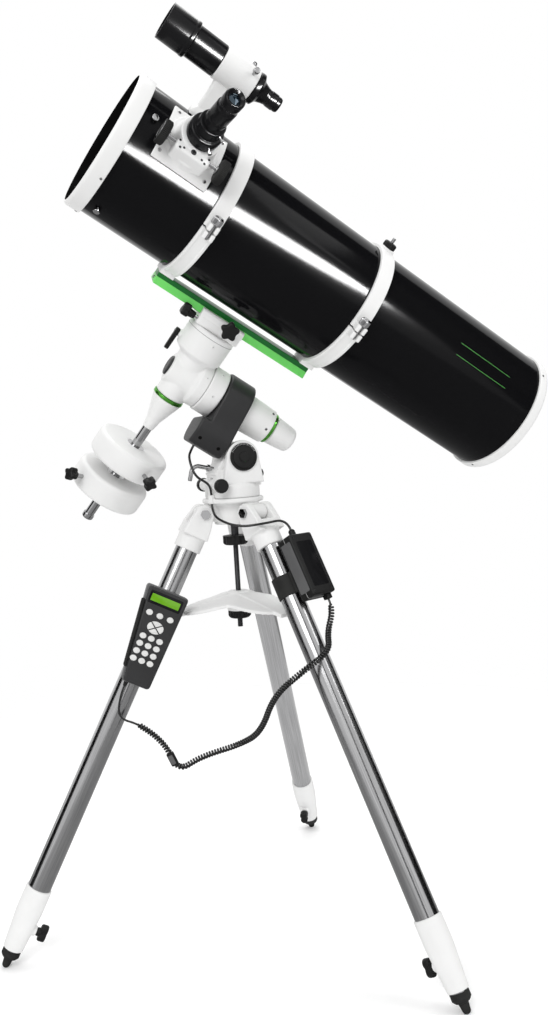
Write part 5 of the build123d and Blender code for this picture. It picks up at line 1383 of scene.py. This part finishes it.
# Front altitude screw: a bent bright rod; rear one: a short screw with a small knob
tilt = radians(14)
screwWay = np.array([-np.cos(tilt), 0, np.sin(tilt)])
dropWay = np.array([-np.sin(tilt), 0, -np.cos(tilt)])
screwFoot = pivot - up * 30
bend = 12
elbow = screwFoot + screwWay * 84
bendTurn = np.linspace(0, np.pi / 2, 14)[:, None]
bendMiddle = elbow - screwWay * bend + dropWay * bend
handlePath = np.concatenate([
    screwFoot + screwWay * np.linspace(16, 71, 20)[:, None],
    bendMiddle + bend * (screwWay * np.sin(bendTurn) - dropWay * np.cos(bendTurn)),
    elbow + dropWay * np.linspace(13, 29.5, 8)[:, None],
])
handleRadius = np.full(len(handlePath), 4.0)
handleRadius[-2:] = 4.0, 3.2
collarAt = place(screwFoot + screwWay * 52, screwWay, east)
piece("frontScrew", "front_altitude_screw", [
    (chrome, sweptChunk(handlePath, handleRadius, 28)),
    rod(chrome, collarAt, 6.5, 0, 5, 36, 0.8),
], ["front_altitude_screw"])
rearAt = place(np.array([pivot[0] + 16, 0, pivot[2] - 32.5]), south, up)
piece("rearScrew", "rear_altitude_screw", [
    rod(chrome, rearAt, 4, 0, 37, 28, 0.8),
    rod(knobBlack, rearAt, 7.6, 29, 35, 80, 1, (29.5, 34.5, 16, 0.6)),
], ["rear_altitude_screw"])
print("polar housing, cover and fork made")

# Tripod hub: flange, core, three lugs for the legs and the cable's clip
hubChunks = [
    turnedChunk(
        place(up * hubTop, up, south),
        soften([(0, 0), (56, 0), (56, -8), (40, -12), (36, -20), (36, -48), (0, -48)], 2), 96
    ),
    plateChunk(place(clipSpot - up * 8, up, clipSpot - up * clipSpot[2]), boxOutline(9, 9, 1.5), 0, 16, 1),
]
lugLine = np.concatenate([arcLine(14, -90, 90, 30), [(-32, 20), (-32, -16)]])
for leg in legs.values():
    radial = unit(leg["hinge"] * [1, 1, 0])
    lugAt = place(leg["hinge"], leg["tangent"], radial)
    rise = np.dot(lugAt[1][1], up)
    hubChunks.append(plateChunk(lugAt, lugLine * [1, rise], -15.3, 15.3, 1.5))
castPiece("hubCasting", "tripod", castWhite, hubChunks, ["tripod_hub"], 1.4, 5)
boltAt = place(up * hubTop, -up, south)
threadLine = threadOutline(4.65, 88, 239, 1.5, 604)
piece("centreBolt", "centre_bolt", [
    rod(darkSteel, boltAt, 7, -10, 71, 36),
    turned(
        knobBlack, boltAt, [(0, 70), (23, 70), (23, 84), (19, 87), (0, 87)], 144, 1.5, (71, 85, 12, 2.2)
    ),
    (darkSteel, turnedChunk(boltAt, np.concatenate([[(0, 86)], [(4.8, 86)], threadLine, [(0, 239)]]), 28)),
], ["centre_bolt"])

# Spreader: a boss and three sloping arms that end on the leg tubes
trayTop = hubTop - 172
trayChunks = [
    turnedChunk(
        place(up * trayTop, -up, south), soften([(0, 0), (18, 0), (22, 4), (22, 36), (0, 36)], 2), 72
    )
]
armRows = (
    (4, 0, 14, 17), (30, -4.5, 13, 17.5), (70, -16.5, 10, 18), (104, -26.5, 8, 18), (124, -32, 7, 17)
)
for leg in legs.values():
    radial = unit(leg["hinge"] * [1, 1, 0])
    side = np.cross(up, radial)
    rows = []
    for reach, top, thick, half in armRows:
        base = radial * reach + up * (trayTop + top)
        ring = boxOutline(2 * half, thick, 2, (0, -thick / 2))
        rows.append(base + ring[:, :1] * side + ring[:, 1:] * up)
    trayChunks.append(loftChunk(rows))
webTurn = np.linspace(0, 2 * np.pi, 145)
webStart = np.arctan2(legs["north"]["hinge"][1], legs["north"]["hinge"][0])
webReach = 66 + 44 * np.abs(np.cos(1.5 * (webTurn - webStart))) ** 1.6
webRows = []
webParts = np.linspace(0.12, 1, 10)
webSteps = [(part, 1) for part in webParts] + [(part, 7) for part in webParts[::-1]] + [(webParts[0], 1)]
for part, drop in webSteps:
    reach = webReach * part
    webRows.append(
        np.stack([reach * np.cos(webTurn), reach * np.sin(webTurn), trayTop + 4 - drop - 0.29 * reach], -1)
    )
trayChunks.append(gridChunk(np.array(webRows)))
castPiece("spreader", "tray", castWhite, trayChunks, ["spreader_tray"], 1.3, 4)
nutAt = place(up * (trayTop - 36.2), -up, south)
piece("trayNut", "tray_nut", [
    turned(knobBlack, nutAt, [(0, 0), (21, 0), (21, 10), (17, 14), (0, 14)], 144, 1.5, (0.5, 11, 16, 1.4)),
], ["tray_nut"])

# Legs: cast top, bright tube, cast clamp, extension with its rubber foot, and a wing knob
for name, leg in legs.items():
    cheekLine = np.concatenate([arcLine(17, 90, 270, 30), [(22, -22), (44, -24), (44, 24), (22, 22)]])
    cheekAt = place(leg["hinge"], leg["tangent"], leg["down"])
    boxRing, roundRing = boxOutline(44, 60, 14), boxOutline(49, 50, 24)
    chunks = [plateChunk(cheekAt, cheekLine, low, low + 13.6, 2) for low in (16.4, -30)]
    shoulder = [
        raised(legAt(leg, 0), ring, height)
        for ring, height in ((boxRing, 23), (boxRing, 32), (roundRing, 46))
    ]
    chunks.append(loftChunk(shoulder))
    chunks.append(rodChunk(legAt(leg, 0), 25, 40, 70, 64, 1.5))
    castPiece(name + "LegTop", name + "_leg", castWhite, chunks, [name + "_leg_castings"], 1.3, 4)
    clampLoop = soften(
        [(15.4, 722, 0.2), (23.5, 722), (23.5, 766, 6), (18, 836), (15.4, 836, 0.2)], 1.2, True
    )
    bossAt = place(legPoint(leg, 796), -leg["outer"], leg["down"])
    castPiece(name + "LegClamp", name + "_leg", castWhite, [
        turnedChunk(legAt(leg, 0), clampLoop, 72),
        rodChunk(bossAt, 9, 17.5, 26, 36, 1),
    ], (), 1.1, 3)
    tubeLoop = ringLine(19.3, 20.75, 38, 752, 0.3)
    piece(
        name + "LegTube", name + "_leg", [turned(legSteel, legAt(leg, 0), tubeLoop, 96)],
        [name + "_leg_tube"]
    )
    extension = rodChunk(legAt(leg, 0), 15, 270, 838, 64, 0.5)
    shoeLine = [
        (0, 837.8), (16.5, 837.8), (16.5, 848), (12, 853), (8.5, 854), (6.5, 868), (4, 870.7), (0, 870.7)
    ]
    shoe = turnedChunk(legAt(leg, 0), soften(shoeLine, 1.6), 64, (839, 847, 20, 0.5))
    shoe[0][:, 2] = np.maximum(shoe[0][:, 2], 0)
    piece(
        name + "LegFoot", name + "_foot", [(legSteel, extension), (rubber, shoe)],
        [name + "_leg_extension"]
    )
    legKnob = lobedKnob(bossAt, (4, 15.6, 34, 24), (15, 2, 9), (32.5, 46, 3), (7, 8, 27, 34, 0.8, 36))
    piece(name + "LegKnob", name + "_lock", legKnob, [name + "_leg_knob"])

# The glow on the floor lights the far leg's steel only
farSteel = bpy.data.collections.new("farSteel")
for lit in ("eastLegTube", "eastLegFoot"):
    farSteel.objects.link(bpy.data.objects[lit])
floorGlowObject.light_linking.receiver_collection = farSteel
print("tripod made")

# Control box strapped to the outer side of the west leg
box = {"start": 74, "end": 188, "wide": 56, "low": 27, "high": 60, "side": 18, "middle": 43.5}
boxLong = box["end"] - box["start"]
boxMiddle = (box["start"] + box["end"]) / 2
boxAt = place(legPoint(westLeg, boxMiddle, 0, box["side"]), westLeg["outer"], westLeg["down"])
sidePlate = place(
    legPoint(westLeg, boxMiddle, box["middle"], box["side"] - box["wide"] / 2), -westLeg["tangent"],
    westLeg["down"]
)
plugAt = place(
    legPoint(westLeg, box["start"], box["middle"], box["side"]), -westLeg["down"], westLeg["outer"]
)
socketAt = place(legPoint(westLeg, box["end"], box["middle"], 37), westLeg["down"], westLeg["outer"])
padAt = place(legPoint(westLeg, 148, 22), westLeg["outer"], westLeg["down"])
strapLoop = ringLine(20.85, 22.9, 129, 167, 0.4)
boxParts = [
    plate(knobBlack, boxAt, boxOutline(boxLong, box["wide"], 5), box["low"], box["high"], 3),
    plate(jointAndShadeGrey, boxAt, boxOutline(boxLong + 0.3, box["wide"] + 0.3, 5), 43, 44, 0.2),
    plate(sideGrey, sidePlate, boxOutline(92, 24, 3), -1, 0.5, 0.4),
    plate(opticsBlack, boxAt, boxOutline(84, 38, 3), box["high"] - 1, box["high"] + 0.5, 0.4),
    turned(knobBlack, plugAt, [(0, -1), (6, -1), (6, 11), (4, 14), (0, 14)], 72, 1, (1, 9, 12, 0.6)),
    plate(knobBlack, socketAt, boxOutline(12, 12, 2), -1, 8, 1),
    turned(rubber, legAt(westLeg, 0), strapLoop, 72),
    plate(rubber, padAt, boxOutline(38, 20, 2), 0, 6, 0.5),
]
for along in (-50, 50):
    for across in (-22, 22):
        spot = put(boxAt, np.array([along, across, box["high"]]))
        boxParts += screwChunks(place(spot, westLeg["outer"], westLeg["down"]), 2.2, 0.5, darkSteel)
piece("controlBox", "west_leg", boxParts, ["control_box"])

# Handset: dark back, grey face, a green screen in a dark frame, and the holder on the leg
handAt = place(north["hinge"], north["tangent"], north["outer"])
shellLine = soften([(47, 150), (-33, 150), (-31, 325), (22, 325)], 7, True)[:-1]
faceLine = soften([(44, 152), (-31, 152), (-29.4, 323), (20.4, 323)], 6, True)[:-1]
gripLine = soften([(47, 178), (40.5, 178), (24.5, 300), (29.5, 300)], 3, True)[:-1]
glandAt = place(legPoint(north, 325, 12, 35.75), north["down"], north["outer"])
holderAt = place(legPoint(north, 220, 0, 20.9), north["tangent"], north["outer"])
handParts = [
    plate(sideGrey, handAt, shellLine, 22.75, 42, 3),
    plate(handGrey, handAt, faceLine, 40, 48.75, 3, 5),
    plate(rubber, handAt, gripLine, 34, 44.5, 1.5),
    plate(glassBlack, handAt, boxOutline(62, 23, 3, (7, 169)), 47.8, 49.1, 0.4),
    plate(screenGreen, handAt, boxOutline(54, 13, 1, (7, 169)), 48.6, 49.25, 0.1),
    plate(knobBlack, holderAt, boxOutline(30, 60, 3), 0, 3, 0.5),
    turned(rubber, glandAt, [(0, -2), (4.2, -2), (3, 8), (0, 8)], 72, 0.6, (1, 7, 6, 0.3)),
]
piece("handsetShell", "north_leg", handParts, ["handset"])
keySpots = [(196, across) for across in (26, 6, -14)]
keySpots += [(along, across) for along in (238, 252, 266, 280) for across in (20, 4, -12)]
keyRise = 45, 50.1
oval = ringOutline(1, 40)
keyParts = [
    plate(keyWhite, handAt, oval * [6.2, 5.2] + [across, along], *keyRise, 1.4)
    for along, across in keySpots
]
for quarter in range(4):
    wedgeArc = arcLine(1, 90 * quarter - 45, 90 * quarter + 45, 16)
    wedge = np.concatenate([wedgeArc * [15.5, 11.5], [(0, 0)]])
    middle = wedge.mean(0)
    keyParts.append(plate(keyWhite, handAt, middle + (wedge - middle) * 0.88 + [5, 218], *keyRise, 1))
piece("handsetKeys", "keys", keyParts, ["handset_keys"])
print("control box and handset made")

# CAD pieces that stay as they are get their finish
kept = {"ra_shaft": darkSteel, "dec_shaft": darkSteel, "leg_pivot_bolts": chrome}
for nodeName, material in kept.items():
    mesh = frame["nodes"][nodeName].data
    mesh.materials.clear()
    mesh.materials.append(material)
